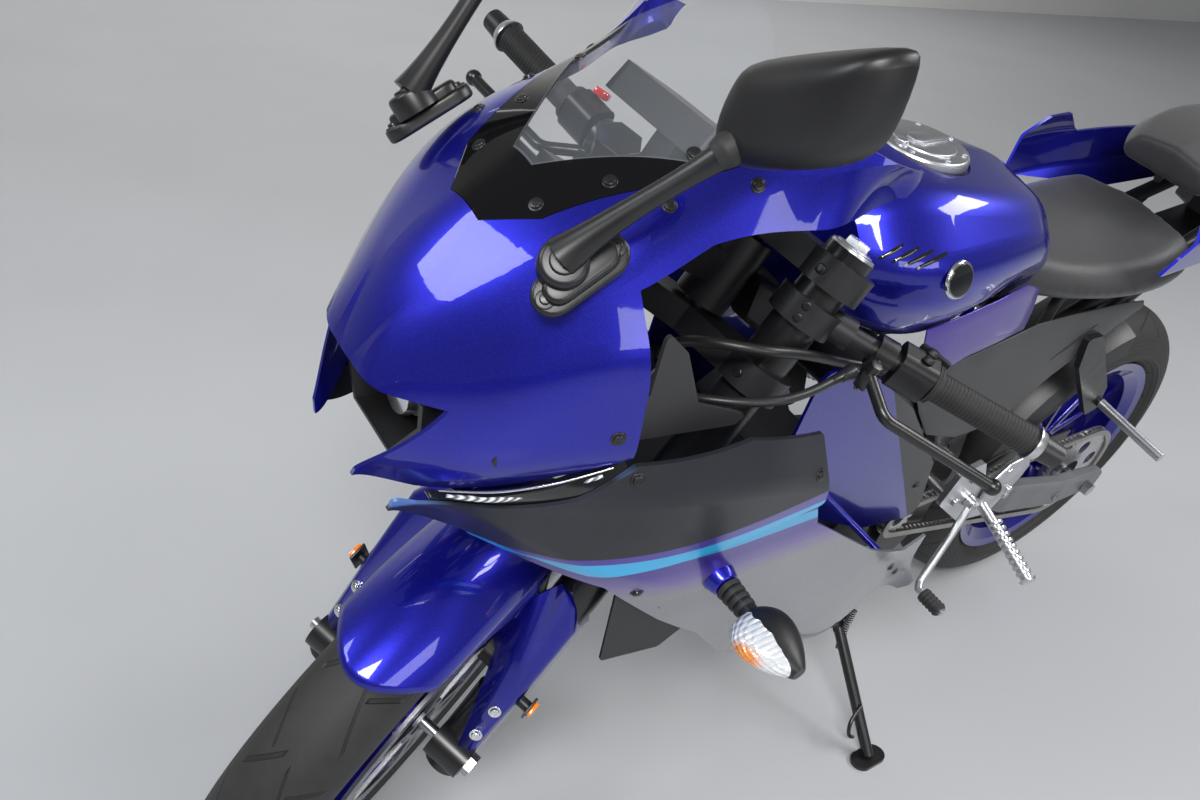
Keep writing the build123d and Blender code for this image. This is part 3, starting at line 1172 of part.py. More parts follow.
with BuildPart() as rear_indicator:
    add(rod((-300, 38.3, 748), (-302, 96, 750), 8))
    for across, wide, high in ((92, 28, 20), (140, 12, 10)):
        with BuildSketch(Plane.XZ.offset(-across)):
            with Locations((-302, 750)):
                Ellipse(wide, high)
    loft()
keep(both_sides(rear_indicator.part), "rear_indicators")
with BuildPart() as hugger:
    add(mudguard_ring(REAR_HUB, REAR_TYRE_WIDTH / 2 + 2, REAR_TYRE_RADIUS + 20, REAR_TYRE_RADIUS + 4, 34, 5, GUARD_WALL))
    with BuildSketch(Plane.XZ.offset(-100)):
        with BuildLine():
            Polyline((60, 470), (60, 800), (440, 700), (440, 386), (290, 386), close=True)
        make_face()
    extrude(amount=200, mode=Mode.INTERSECT)
    for side in (1, -1):
        add(rod((300, side * 71, 404), (300, side * 71, 375), 4.5))
    add(swingarm.part, mode=Mode.SUBTRACT)
keep(hugger.part, "rear_mudguard")

# ---------------------------------------------------------------- footrests, pedals, stand
REARSET_INNER = PLATE_OUTER + 46
REARSET_OUTER = REARSET_INNER + 9
with BuildPart() as footrest:
    add(side_plate([(500, 500), (512, 440), (420, 372), (330, 360), (296, 440), (330, 492), (400, 440), (450, 510)],
                   REARSET_INNER, REARSET_OUTER, 10))
    for x, z in ((456, 476), (474, 436)):
        add(rod((x, PLATE_OUTER + SEAM, z), (x, REARSET_OUTER, z), 9))
    add(rod((384, REARSET_OUTER - 2, 404), (397, 262, 366), 9))
    add(side_plate([(330, 700), (290, 700), (150, 570), (130, 520), (160, 512), (300, 640)], 100, 110, 6))
    add(rod((146, 102, 540), (152, 240, 530), 8))
    add(rod((262, 101, 652), (262, 74.9, 652), 8))
keep(both_sides(footrest.part), "footrests")
with BuildPart() as shift_lever:
    add(rod((430, REARSET_OUTER + SEAM, 424), (430, REARSET_OUTER + 14, 424), 12))
    add(bent_rod([(430, REARSET_OUTER + 8, 424), (538, 178, 332), (546, 186, 327), (548, 236, 330)], [5, 4], 6))
keep(shift_lever.part, "shift_lever")
with BuildPart() as brake_pedal:
    add(rod((430, -REARSET_OUTER - SEAM, 424), (430, -REARSET_OUTER - 14, 424), 12))
    add(bent_rod([(430, -REARSET_OUTER - 8, 424), (538, -172, 330), (546, -180, 326), (548, -214, 326)], [5, 4], 6))
keep(brake_pedal.part, "brake_pedal")

with BuildPart() as side_stand:
    with BuildSketch(stand_plane(-STAND_THICKNESS / 2)):
        Circle(STAND_HEAD)
    extrude(amount=STAND_THICKNESS)
    with BuildSketch(Plane(origin=STAND_PIVOT, x_dir=STAND_DOWN, z_dir=STAND_AXIS).offset(-STAND_THICKNESS / 2)):
        with Locations((15, 0)):
            Rectangle(30, 18)
    extrude(amount=STAND_THICKNESS)
    add(rod(STAND_PIVOT + STAND_DOWN * 24, STAND_FOOT + FLOOR_UP * (STAND_PLATE + 1), 9))
    with BuildSketch(Plane(origin=STAND_FOOT, x_dir=(1, 0, 0), z_dir=FLOOR_UP)):
        SlotOverall(64, 34)
    extrude(amount=STAND_PLATE)
    with BuildSketch(stand_plane(-STAND_THICKNESS)):
        Circle(STAND_PIN + SHAFT_CLEARANCE)
    extrude(amount=2 * STAND_THICKNESS, mode=Mode.SUBTRACT)
keep(side_stand.part, "side_stand")

# ---------------------------------------------------------------- the finished machine, centred over the floor
bounds = Compound(children=[Solid.make_box(
    piece.bounding_box().size.X, piece.bounding_box().size.Y, piece.bounding_box().size.Z,
    Plane(origin=piece.bounding_box().min)) for piece in pieces.values()]).bounding_box()
SHIFT = Vector(-(bounds.min.X + bounds.max.X) / 2, -(bounds.min.Y + bounds.max.Y) / 2, 0)
for name, piece in pieces.items():
    placed = piece.translate(SHIFT)
    placed.label = name
    export_step(placed, f"parts/{name}.step")


def stored(point, steered=False):
    return [round(value, 3) for value in parked_point(Vector(point), steered) + SHIFT]


def stored_way(way, steered=False):
    return [round(value, 6) for value in parked_direction(Vector(way), steered)]


print("size", bounds.size, "lowest", bounds.min.Z)
print("steering", stored(HEAD_AT), stored_way(STEER_UP))
print("front_wheel", stored(FRONT_HUB, True), stored_way((0, 1, 0), True))
print("rear_wheel", stored(REAR_HUB), stored_way((0, 1, 0)))
print("side_stand", stored(STAND_PIVOT), stored_way(STAND_AXIS), "swing", round(STAND_DOWN.get_angle(STAND_FOLDED), 2))
print("fuel_cap", stored(CAP_AT - Vector(CAP_RADIUS + 3, 0, -1.5)), stored_way((0, -1, 0)))
print("stand_bore", stored(on_steering(LOWER_YOKE_AT + STAND_BORE_DEPTH / 2), True), stored_way(STEER_UP * -1, True))
for side in (1, -1):
    spot = (BOBBIN_AT.X, side * (BOBBIN_AT.Y - BOBBIN_DEPTH / 2), BOBBIN_AT.Z)
    print("bobbin_hole", stored(spot), stored_way((0, side, 0)))
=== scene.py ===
import bmesh
import bpy
import json
import math
from mathutils import Matrix, Vector

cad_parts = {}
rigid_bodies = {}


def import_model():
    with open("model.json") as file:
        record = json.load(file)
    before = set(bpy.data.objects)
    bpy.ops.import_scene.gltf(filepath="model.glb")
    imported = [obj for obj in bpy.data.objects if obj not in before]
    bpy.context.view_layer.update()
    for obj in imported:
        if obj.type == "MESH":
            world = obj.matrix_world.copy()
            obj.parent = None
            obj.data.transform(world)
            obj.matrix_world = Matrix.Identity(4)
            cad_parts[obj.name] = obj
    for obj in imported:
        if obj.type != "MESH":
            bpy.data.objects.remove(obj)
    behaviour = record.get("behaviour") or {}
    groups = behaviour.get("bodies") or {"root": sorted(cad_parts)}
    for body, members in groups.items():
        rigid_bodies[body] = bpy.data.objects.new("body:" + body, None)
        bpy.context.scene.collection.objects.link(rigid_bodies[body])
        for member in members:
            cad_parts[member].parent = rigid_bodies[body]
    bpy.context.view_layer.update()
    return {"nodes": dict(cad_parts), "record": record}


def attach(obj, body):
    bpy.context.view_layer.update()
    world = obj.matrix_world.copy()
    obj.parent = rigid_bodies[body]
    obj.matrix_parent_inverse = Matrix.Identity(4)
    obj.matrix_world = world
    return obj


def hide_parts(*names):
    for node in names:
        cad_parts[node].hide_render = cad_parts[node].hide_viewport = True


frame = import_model()


# ------------------------------ wheels and brake discs
# Ten-spoke cast aluminium rims, painted blue, carry wide tubeless road tyres with grooved treads.
# Drilled steel discs are bolted to their hubs.

# The drawing stands upright, in millimetres, with X ahead of the rear axle, Y to the left and Z up.
# The parked machine leans on its side stand, with the steering against its left stop.
LEAN = math.radians(10)
PITCH = math.radians(0.294045)
LOCK = math.radians(28)
RAKE = math.radians(26)
REAR_HUB = Vector((0, 0, 314))
FRONT_HUB = Vector((1325, 0, 296))
STEER_FOOT = Vector((1420.4, 0, 0))
STEER_UP = Vector((-math.sin(RAKE), 0, math.cos(RAKE)))
LEANED = Matrix.Rotation(-LEAN, 4, "X") @ Matrix.Rotation(PITCH, 4, "Y")
TURNED = Matrix.Rotation(LOCK, 4, STEER_UP)
STEERED = Matrix.Translation(STEER_FOOT) @ TURNED @ Matrix.Translation(-STEER_FOOT)
JOINTS = {joint["name"]: joint for joint in frame["record"]["behaviour"]["joints"]}
REAR_AT = Vector(JOINTS["rear_wheel_spin"]["pos_m"]) * 1000
PARKED = Matrix.Translation(REAR_AT - LEANED @ REAR_HUB) @ LEANED
PI = math.pi


def standing(steered=False):
    """From the upright drawing in millimetres to the parked machine in metres."""
    turn = PARKED @ STEERED if steered else PARKED
    return Matrix.Scale(0.001, 4) @ turn


class Field:
    """A number that varies over a surface, written with ordinary operators."""

    def __init__(self, tree, socket):
        self.tree = tree
        self.socket = socket

    def maths(self, operation, *others, clamp=False):
        """Adds a Math node whose first value is this one."""
        node = self.tree.nodes.new("ShaderNodeMath")
        node.operation = operation
        node.use_clamp = clamp
        for slot, value in zip(node.inputs, (self, *others)):
            if isinstance(value, Field):
                self.tree.links.new(value.socket, slot)
            else:
                slot.default_value = value
        return Field(self.tree, node.outputs[0])

    def __add__(self, other):
        return self.maths("ADD", other)

    def __sub__(self, other):
        return self.maths("SUBTRACT", other)

    def __mul__(self, other):
        return self.maths("MULTIPLY", other)

    def __radd__(self, other):
        return self + other

    def __rsub__(self, other):
        return self * -1 + other

    def __rmul__(self, other):
        return self * other

    def __abs__(self):
        return self.maths("ABSOLUTE")

    def most(self, other):
        return self.maths("MAXIMUM", other)

    def sine(self):
        return self.maths("SINE")

    def folded(self, step):
        """Distance to the nearest multiple of a step."""
        return abs(self.maths("WRAP", step / 2, -step / 2))

    def ramp(self, start, end):
        """0 at the start, 1 at the end, held outside them."""
        return ((self - start) * (1 / (end - start))).maths("ADD", 0, clamp=True)


class Shader:
    """One material. Fields and colours go to its sockets by name."""

    def __init__(self, name, steered=False):
        self.material = bpy.data.materials.new(name)
        self.material.use_nodes = True
        self.tree = self.material.node_tree
        self.surface = self.tree.nodes["Principled BSDF"]
        self.steered = steered

    def node(self, kind, inputs=(), **settings):
        """Adds a node: its settings first, then the values or links of its sockets."""
        made = self.tree.nodes.new(kind)
        for name, value in settings.items():
            setattr(made, name, value)
        for name, value in dict(inputs).items():
            self.feed(made.inputs[name], value)
        return made

    def feed(self, slot, value):
        """Links a socket to a field or another socket, or sets its number, vector or colour."""
        if isinstance(value, Field):
            self.tree.links.new(value.socket, slot)
        elif isinstance(value, bpy.types.NodeSocket):
            self.tree.links.new(value, slot)
        elif slot.type == "RGBA":
            slot.default_value = (*value, 1)
        else:
            slot.default_value = value

    def place(self):
        """The point in the upright drawing, in millimetres."""
        at = self.node("ShaderNodeTexCoord").outputs["Object"]
        turn = standing(self.steered)
        drawing = {"Vector": at, "Location": turn.translation, "Rotation": turn.to_euler(),
                   "Scale": (0.001, 0.001, 0.001)}
        return self.node("ShaderNodeMapping", drawing, vector_type="TEXTURE").outputs["Vector"]

    def xyz(self, about=(0, 0, 0)):
        """How far ahead, to the left and up a place lies from a point of the upright drawing."""
        parts = self.node("ShaderNodeSeparateXYZ", {"Vector": self.place()})
        return [Field(self.tree, parts.outputs[i]) - about[i] for i in range(3)]

    def noise(self, size, detail=2.0, stretch=(1, 1, 1)):
        """Cloudy noise from 0 to 1 whose features are about a size in millimetres."""
        at = self.node("ShaderNodeTexCoord").outputs["Object"]
        at = self.node("ShaderNodeMapping", {"Vector": at, "Scale": stretch}).outputs["Vector"]
        made = self.node("ShaderNodeTexNoise", {"Vector": at, "Scale": 1000 / size, "Detail": detail})
        return Field(self.tree, made.outputs["Fac"])

    def cells(self, size):
        """Distance from the middle of flakes or pores that are a size in millimetres."""
        at = self.node("ShaderNodeTexCoord").outputs["Object"]
        made = self.node("ShaderNodeTexVoronoi", {"Vector": at, "Scale": 1000 / size})
        return Field(self.tree, made.outputs["Distance"])

    def mix(self, share, first, second):
        """The first colour where the share is 0, the second where it is 1."""
        made = self.node("ShaderNodeMix", {0: share, 6: first, 7: second}, data_type="RGBA")
        return made.outputs[2]

    def bump(self, height, depth):
        """Raises the surface by a field, 1 being a depth in millimetres."""
        made = self.node("ShaderNodeBump", {"Height": height, "Distance": depth / 1000, "Strength": 1.0})
        self.feed(self.surface.inputs["Normal"], made.outputs["Normal"])

    def set(self, **values):
        """Feeds the sockets of the surface, which are named with _ for a space."""
        for name, value in values.items():
            self.feed(self.surface.inputs[name.replace("_", " ")], value)


def dress(material, *nodes):
    """Gives solids of the frame their material."""
    for name in nodes:
        frame["nodes"][name].data.materials.clear()
        frame["nodes"][name].data.materials.append(material)


BEAD = 216


def tyre_rubber(name, hub, steered, half, radius):
    """Road rubber: curved grooves across the tread, painted near black as painted shade, and smooth sides
    with rings of fine ribs.
    """
    made = Shader(name, steered)
    x, y, z = made.xyz(hub)
    turn = z.maths("ARCTAN2", x)
    reach = (x * x + z * z).maths("SQRT")
    side = abs(y)
    tread = side.ramp(half * 0.93, half * 0.8)
    groove_count = 16
    pitch = 2 * PI * radius / groove_count
    lane = turn * (groove_count / (2 * PI)) + (y * 0.02).sine() * 0.35
    long_cut = (lane + side * (0.9 / half)).folded(1.0) * pitch
    short_cut = (lane + 0.5 - side * (0.7 / half)).folded(1.0) * pitch
    long_mask = side.ramp(half * 0.1, half * 0.14) * (1 - side.ramp(half * 0.66, half * 0.7))
    short_mask = side.ramp(half * 0.38, half * 0.42) * (1 - side.ramp(half * 0.82, half * 0.86))
    long_groove = (1 - long_cut.ramp(3.0, 4.4)) * long_mask
    short_groove = (1 - short_cut.ramp(2.4, 3.6)) * short_mask
    cut = long_groove.most(short_groove) * tread
    rings = (reach * 0.9).sine() * (1 - tread) * reach.ramp(BEAD + 14, BEAD + 20) * 0.12
    dust = made.noise(18, 4)
    # Dust gives the rubber an uneven tone, and the grooves are painted near black: painted shade in their
    # hollows.
    worn = (dust * 0.6 + 0.1) * (1 - cut)
    made.set(Base_Color=made.mix(worn, (0.006, 0.006, 0.006), (0.034, 0.033, 0.032)),
             Roughness=dust * 0.2 + 0.55)
    made.bump(rings + made.noise(1.4, 2) * 0.06 - cut, 3.2)
    return made.material


dress(tyre_rubber("front_tyre_rubber", FRONT_HUB, True, 50, 296), "front_tyre")
dress(tyre_rubber("rear_tyre_rubber", REAR_HUB, False, 70, 314), "rear_tyre")


def candy(name, dark=(0.003, 0.0025, 0.13), light=(0.012, 0.014, 0.52)):
    """Deep clear paint over metal flake."""
    made = Shader(name)
    flake = made.cells(0.9)
    cloud = made.noise(240, 2)
    depth = (cloud * 0.5 + flake * 0.35).ramp(0.2, 0.7)
    made.set(Base_Color=made.mix(depth, dark, light), Metallic=0.78, Roughness=flake * 0.1 + 0.3,
             Coat_Weight=1.0, Coat_Roughness=0.03, Coat_IOR=1.42)
    made.bump(made.noise(9, 1), 0.03)
    return made.material


WHEEL_BLUE = candy("wheel_blue", (0.004, 0.003, 0.11), (0.02, 0.016, 0.4))
dress(WHEEL_BLUE, "front_rim", "rear_rim")


def metal(name, colour, rough, brushed=False):
    """Bare or plated metal with faint wear; brushed metal has fine lines all one way."""
    made = Shader(name)
    wear = made.noise(25, 4)
    worn = tuple(c * 0.8 for c in colour)
    made.set(Base_Color=made.mix(wear.ramp(0.35, 0.75), colour, worn), Metallic=1.0,
             Roughness=wear * 0.18 + (rough - 0.09))
    if brushed:
        made.bump(made.noise(0.7, 3, (1, 1, 12)), 0.04)
    else:
        made.bump(made.noise(2.0, 3), 0.02)
    return made.material


dress(metal("disc_steel", (0.26, 0.26, 0.265), 0.36, True), "front_disc", "rear_disc")


# ------------------------------ swingarm and drive
# A grey steel swingarm holds the rear axle, and a roller chain runs from the gearbox to the rear sprocket.
# A moulded plate is screwed on over the chain, and a moulded mudguard hugs the tyre.
STEEL = metal("brushed_steel", (0.55, 0.55, 0.56), 0.3, True)
dress(STEEL, "rear_sprocket", "front_sprocket", "rear_axle", "swingarm_bolt")
dress(metal("chain_steel", (0.36, 0.35, 0.33), 0.36), "chain")


def coated(name, colour, rough):
    """Satin or gloss paint on metal, with slight orange peel."""
    made = Shader(name)
    patch = made.noise(40, 3)
    faded = tuple(c * 1.25 + 0.001 for c in colour)
    made.set(Base_Color=made.mix(patch.ramp(0.3, 0.75), colour, faded),
             Roughness=patch * 0.1 + (rough - 0.05))
    made.bump(made.noise(3.0, 2), 0.02)
    return made.material


dress(coated("grey_metal", (0.11, 0.112, 0.118), 0.4), "swingarm")
SATIN_BLACK = coated("satin_black_metal", (0.011, 0.011, 0.012), 0.4)
dress(SATIN_BLACK, "rear_caliper")


def grained(name, colour, rough, grain=0.9, depth=0.05):
    """Moulded plastic or rubber: fine leather-like grain, slightly uneven shine."""
    made = Shader(name)
    patch = made.noise(60, 3)
    faded = tuple(c * 1.35 + 0.002 for c in colour)
    made.set(Base_Color=made.mix(patch.ramp(0.3, 0.7), colour, faded),
             Roughness=patch * 0.12 + (rough - 0.06))
    made.bump(made.noise(grain, 2), depth)
    return made.material


BLACK_PLASTIC = grained("black_plastic", (0.006, 0.006, 0.0065), 0.42)
dress(BLACK_PLASTIC, "rear_mudguard")
ROOT = frame["record"]["behaviour"]["joints"][0]["parent"]


def facing(at, out, turn=0.0):
    """A frame at a point whose Z looks along a direction."""
    aim = Vector(out).to_track_quat("Z", "Y").to_matrix().to_4x4()
    return Matrix.Translation(Vector(at)) @ aim @ Matrix.Rotation(math.radians(turn), 4, "Z")


def piece(name, mesh, finish, sharp, body):
    """Makes a parked mesh a piece that rides a body, smooth but for edges sharper than an angle."""
    mesh.materials.clear()
    mesh.materials.append(finish)
    mesh.polygons.foreach_set("use_smooth", [True] * len(mesh.polygons))
    mesh.set_sharp_from_angle(angle=math.radians(sharp))
    made = bpy.data.objects.new(name, mesh)
    bpy.context.collection.objects.link(made)
    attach(made, body)
    return made


def fitted(name, bm, finish, steered=False, pair=False, sharp=32, replaces=(),
           body=None):
    """Turns a mesh drawn upright in millimetres into a piece of the parked machine."""
    if pair:
        bmesh.ops.mirror(bm, geom=bm.verts[:] + bm.edges[:] + bm.faces[:], merge_dist=-1, axis="Y")
    bmesh.ops.transform(bm, matrix=standing(steered), verts=bm.verts)
    bmesh.ops.recalc_face_normals(bm, faces=bm.faces)
    mesh = bpy.data.meshes.new(name)
    bm.to_mesh(mesh)
    bm.free()
    made = piece(name, mesh, finish, sharp, body or ("steering" if steered else ROOT))
    if replaces:
        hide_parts(*replaces)
    return made


def eased(bm, edges, width, segments):
    """Rounds edges, and gives the points of the rounding."""
    cut = bmesh.ops.bevel(bm, geom=edges, offset=width, segments=segments, profile=0.5,
                          affect="EDGES", material=-1)
    return set(cut["verts"])


def plate(bm, outline, thickness, frame_at, soft=1.0, segments=2):
    """A flat plate from an outline in a frame's X and Y, with its edges eased."""
    face = bm.faces.new([bm.verts.new((x, y, 0)) for x, y in outline])
    made = bmesh.ops.extrude_face_region(bm, geom=[face])
    top = [v for v in made["geom"] if isinstance(v, bmesh.types.BMVert)]
    bmesh.ops.translate(bm, vec=(0, 0, thickness), verts=top)
    verts = set(top) | set(face.verts)
    rounding = eased(bm, list({e for v in verts for e in v.link_edges}), soft, segments)
    verts = {v for v in verts if v.is_valid} | rounding
    bmesh.ops.transform(bm, matrix=frame_at, verts=list(verts))


bm = bmesh.new()
CHAIN_GUARD = [(-150, -30), (40, -36), (110, -10), (150, 6), (148, 20), (96, 12), (30, -10), (-146, -8)]
plate(bm, CHAIN_GUARD, 4, facing((300, 100, 440), (0, 1, 0), 180), soft=1.5)
fitted("chain_guard_plate", bm, BLACK_PLASTIC)


# ------------------------------ fork, yokes and front brake
# Two black-coated tubes are clamped in forged yokes round the steering stem and slide in cast legs.
# Silver caps close the tubes, and the left leg carries the brake caliper beside the disc.
BLACK_METAL = coated("black_metal", (0.008, 0.008, 0.0085), 0.3)
dress(BLACK_METAL, "fork_tubes", "fork_legs")
dress(SATIN_BLACK, "upper_yoke", "lower_yoke", "front_caliper")
dress(STEEL, "front_axle")
SILVER = metal("cast_aluminium", (0.62, 0.63, 0.65), 0.34)
STEER_AHEAD = Vector((math.cos(RAKE), 0, math.sin(RAKE)))


def on_fork(along, ahead=0.0, across=0.0):
    """A point beside the steering axis, measured up it, square ahead of it and to its left."""
    return STEER_FOOT + STEER_UP * along + STEER_AHEAD * ahead + Vector((0, across, 0))


def disc(bm, at, out, radius, height, top=None, sides=32, turn=0.0, soft=0.0):
    """A round or many-sided boss on a point; its top may be narrower and its rim rounded. Gives its top."""
    made = bmesh.ops.create_cone(bm, cap_ends=True, segments=sides, radius1=radius,
                                 radius2=radius if top is None else top, depth=height)
    face = max({f for v in made["verts"] for f in v.link_faces}, key=lambda f: f.calc_center_median().z)
    verts = set(made["verts"])
    bmesh.ops.translate(bm, vec=(0, 0, height / 2), verts=made["verts"])
    if soft:
        rounding = eased(bm, face.edges[:], soft, 3)
        verts = {v for v in verts if v.is_valid} | rounding
        face = max({f for v in verts for f in v.link_faces}, key=lambda f: f.calc_center_median().z)
    bmesh.ops.transform(bm, matrix=facing(at, out, turn), verts=list(verts))
    return face


def socket_bolt(bm, at, out, radius=6.0, height=4.0):
    """A round-headed hexagon-socket bolt."""
    disc(bm, at, out, radius, height, radius * 0.92, 20, soft=height * 0.25)
    out = Vector(out).normalized()
    socket = disc(bm, Vector(at) + out * (height + 0.05), out, radius * 0.5, 0.3, sides=6)
    bmesh.ops.inset_individual(bm, faces=[socket], thickness=radius * 0.06)
    bmesh.ops.translate(bm, vec=-out * height * 0.4, verts=socket.verts)


FORK_AHEAD = 30
FORK_SIDE = 95
bm = bmesh.new()
for side in (1, -1):
    disc(bm, on_fork(1031, FORK_AHEAD, side * FORK_SIDE), STEER_UP, 25.4, 4, 24.4, 48, soft=1)
    disc(bm, on_fork(1034, FORK_AHEAD, side * FORK_SIDE), STEER_UP, 21, 3, 20, 48, soft=1)
    disc(bm, on_fork(1036, FORK_AHEAD, side * FORK_SIDE), STEER_UP, 14, 9, 13.5, 6, soft=1)
fitted("fork_caps", bm, SILVER, steered=True)
bm = bmesh.new()
disc(bm, on_fork(1020), STEER_UP, 20, 7, 19, 6, soft=1.5)
disc(bm, on_fork(1020), STEER_UP, 13, 11, 12, 32, soft=1)
disc(bm, on_fork(1019, 14, 40), STEER_UP, 5, 4, sides=16)
fitted("stem_nut", bm, STEEL, steered=True)
bm = bmesh.new()
for side in (1, -1):
    for along in (954, 968):
        at = on_fork(along, FORK_AHEAD, side * FORK_SIDE) + Vector((30, 0, 15))
        socket_bolt(bm, at, (0.9, 0, 0.44), 5, 4)
    for along in (876, 1004):
        at = on_fork(along, FORK_AHEAD + 33, side * 84)
        socket_bolt(bm, at, (0.9, -0.4 * side, 0.4), 5.5, 5)
fitted("clamp_bolts", bm, BLACK_METAL, steered=True)


# ------------------------------ front mudguard
# A moulded skin over the tyre with a rounded nose, painted with the body; its skirts sweep back to a tab on
# each side that is bolted to the fork leg.
BLUE = candy("candy_blue")
dress(BLUE, "front_mudguard", "fork_guards")


def lofted(bm, lines):
    """Faces between neighbouring lines of points."""
    rows = [[bm.verts.new(point) for point in line] for line in lines]
    for near, far in zip(rows, rows[1:]):
        for i in range(len(near) - 1):
            bm.faces.new((near[i], near[i + 1], far[i + 1], far[i]))


def walled(made, thick, offset=-1):
    """Gives a skin its wall, in millimetres."""
    wall = made.modifiers.new("wall", "SOLIDIFY")
    wall.thickness = thick / 1000
    wall.offset = offset


PANEL_WALL = 3
MUDGUARD_HALF = 60
MUDGUARD_CROWN = 322
MUDGUARD_EDGE = 290
MUDGUARD_SKIRT = [(61.0, 280, 15.0), (61.9, 268, 8.0), (62.9, 257, 1.5), (64.0, 246, -5.0)]
MUDGUARD_STEPS = 36
REAR_CUT = 176.96
REAR_CUT_TURN = math.radians(19.65)


def mudguard_lines():
    """Points of each line along the skin, from its front end to the straight cut at its rear."""
    arch = []
    for i in range(-8, 9):
        bow = (i / 8) ** 2
        radius = MUDGUARD_CROWN - (MUDGUARD_CROWN - MUDGUARD_EDGE) * bow
        arch.append((MUDGUARD_HALF * i / 8, radius, 29.5 - 8 * bow))
    right_skirt = [(-y, radius, front) for y, radius, front in reversed(MUDGUARD_SKIRT)]
    lines = []
    for y, radius, front in right_skirt + arch + MUDGUARD_SKIRT:
        first = math.radians(front)
        last = -math.acos(REAR_CUT / radius) - REAR_CUT_TURN
        turns = [first + (last - first) * (i / MUDGUARD_STEPS) ** 1.15 for i in range(MUDGUARD_STEPS + 1)]
        lines.append([FRONT_HUB + Vector((radius * math.sin(a), y, radius * math.cos(a))) for a in turns])
    return lines


bm = bmesh.new()
lofted(bm, mudguard_lines())
skin = fitted("front_mudguard_skin", bm, BLUE, steered=True, sharp=50,
              replaces=("front_mudguard",))
walled(skin, PANEL_WALL)
bm = bmesh.new()
tab = on_fork(491.8, FORK_AHEAD)
TAB_OUTLINE = [(FRONT_HUB.x - 50, FRONT_HUB.z + 262), (FRONT_HUB.x - 160, FRONT_HUB.z + 214),
               (tab.x - 26, tab.z - 6), (tab.x, tab.z - 20), (tab.x + 26, tab.z + 4)]
for side in (1, -1):
    flat = Matrix.Translation((0, side * 61 + PANEL_WALL / 2, 0)) @ Matrix.Rotation(PI / 2, 4, "X")
    plate(bm, TAB_OUTLINE, PANEL_WALL, flat, soft=0.8)
    disc(bm, (tab.x, side * 61, tab.z), (0, side, 0), 9, 10, sides=24)
fitted("mudguard_tabs", bm, BLUE, steered=True)


# ------------------------------ fork guards and reflectors
# Moulded covers shield the front of each fork leg, painted with the body and held by two bolts each.
# An amber reflector stands on a bracket beside each leg.
GUARD_TURN = math.radians(20)
GUARD_OUTLINE = ((541, 62), (575, 78), (570, 92), (558, 107), (531, 121), (420, 121), (322, 119), (311, 114),
                 (311, 106), (334, 98), (400, 82), (464, 65), (477, 53), (505, 52))


def guard_point(along, across):
    """A point on the flat front of the left guard, which faces outward by its turn."""
    return on_fork(along, 61 - (across - FORK_SIDE) * math.tan(GUARD_TURN), across)


bm = bmesh.new()
front = [bm.verts.new(guard_point(along, across)) for along, across in GUARD_OUTLINE]
bm.faces.new(front)
outer = [bm.edges.get((front[i], front[i + 1])) for i in range(2, 6)]
skirt = bmesh.ops.extrude_edge_only(bm, edges=outer)
back = [v for v in skirt["geom"] if isinstance(v, bmesh.types.BMVert)]
bmesh.ops.translate(bm, vec=STEER_AHEAD * -46 + Vector((0, 3, 0)), verts=back)
bend = [bm.edges.get((front[i], front[i + 1])) for i in range(2, 6)]
eased(bm, bend, 7, 4)
skins = fitted("fork_guard_skins", bm, BLUE, steered=True, pair=True,
               replaces=("fork_guards",))
walled(skins, PANEL_WALL)
CHROME = metal("bright_metal", (0.8, 0.81, 0.83), 0.16)
bm = bmesh.new()
guard_out = STEER_AHEAD * math.cos(GUARD_TURN) + Vector((0, math.sin(GUARD_TURN), 0))
for along in (352, 392):
    at = guard_point(along, 108)
    disc(bm, at - guard_out, guard_out, 8, 2, 7.6, 28, soft=0.5)
    socket_bolt(bm, at + guard_out * 0.8, guard_out, 5.6, 3)
    disc(bm, at - guard_out, -guard_out, 6, 20, sides=20)
fitted("fork_guard_bolts", bm, CHROME, steered=True, pair=True)


def gloss(name, colour, alpha=1.0):
    """Clear or dyed plastic with a smooth, lacquered face."""
    made = Shader(name)
    pale = tuple(c * 1.15 for c in colour)
    made.set(Base_Color=made.mix(made.noise(30, 2).ramp(0.3, 0.7), colour, pale),
             Alpha=alpha, Roughness=0.05, Coat_Weight=0.6, Coat_Roughness=0.02)
    return made.material


def tablet(bm, half_width, half_height, thickness, frame_at, soft):
    """A rectangular plate with its edges eased, about a frame's middle."""
    corners = [(-half_width, -half_height), (half_width, -half_height), (half_width, half_height),
               (-half_width, half_height)]
    plate(bm, corners, thickness, frame_at, soft)


AMBER = gloss("amber_lens", (0.9, 0.22, 0.01), 0.9)
REFLECTOR_TILT = 26
lenses = bmesh.new()
backs = bmesh.new()
for side in (1, -1):
    out = (0, side, 0)
    tablet(lenses, 9, 26, 5, facing(on_fork(402, 20, side * 137), out, REFLECTOR_TILT * side), 1.5)
    tablet(backs, 12, 29, 3, facing(on_fork(402, 20, side * 134), out, REFLECTOR_TILT * side), 0.8)
    disc(backs, on_fork(402, 20, side * 112), out, 7, 23, sides=16)
fitted("fork_reflectors", lenses, AMBER, steered=True)
fitted("reflector_backs", backs, BLACK_PLASTIC, steered=True)


# ------------------------------ frame, engine, radiator and exhaust
# Twin steel spars run from the steering head to the swingarm bolt, and a tube frame carries the seats.
# The engine hangs between them as one cast block, with the radiator ahead of it and the exhaust below.
dress(SATIN_BLACK, "main_frame", "radiator", "exhaust")
dress(coated("engine_black", (0.022, 0.022, 0.024), 0.46), "engine")


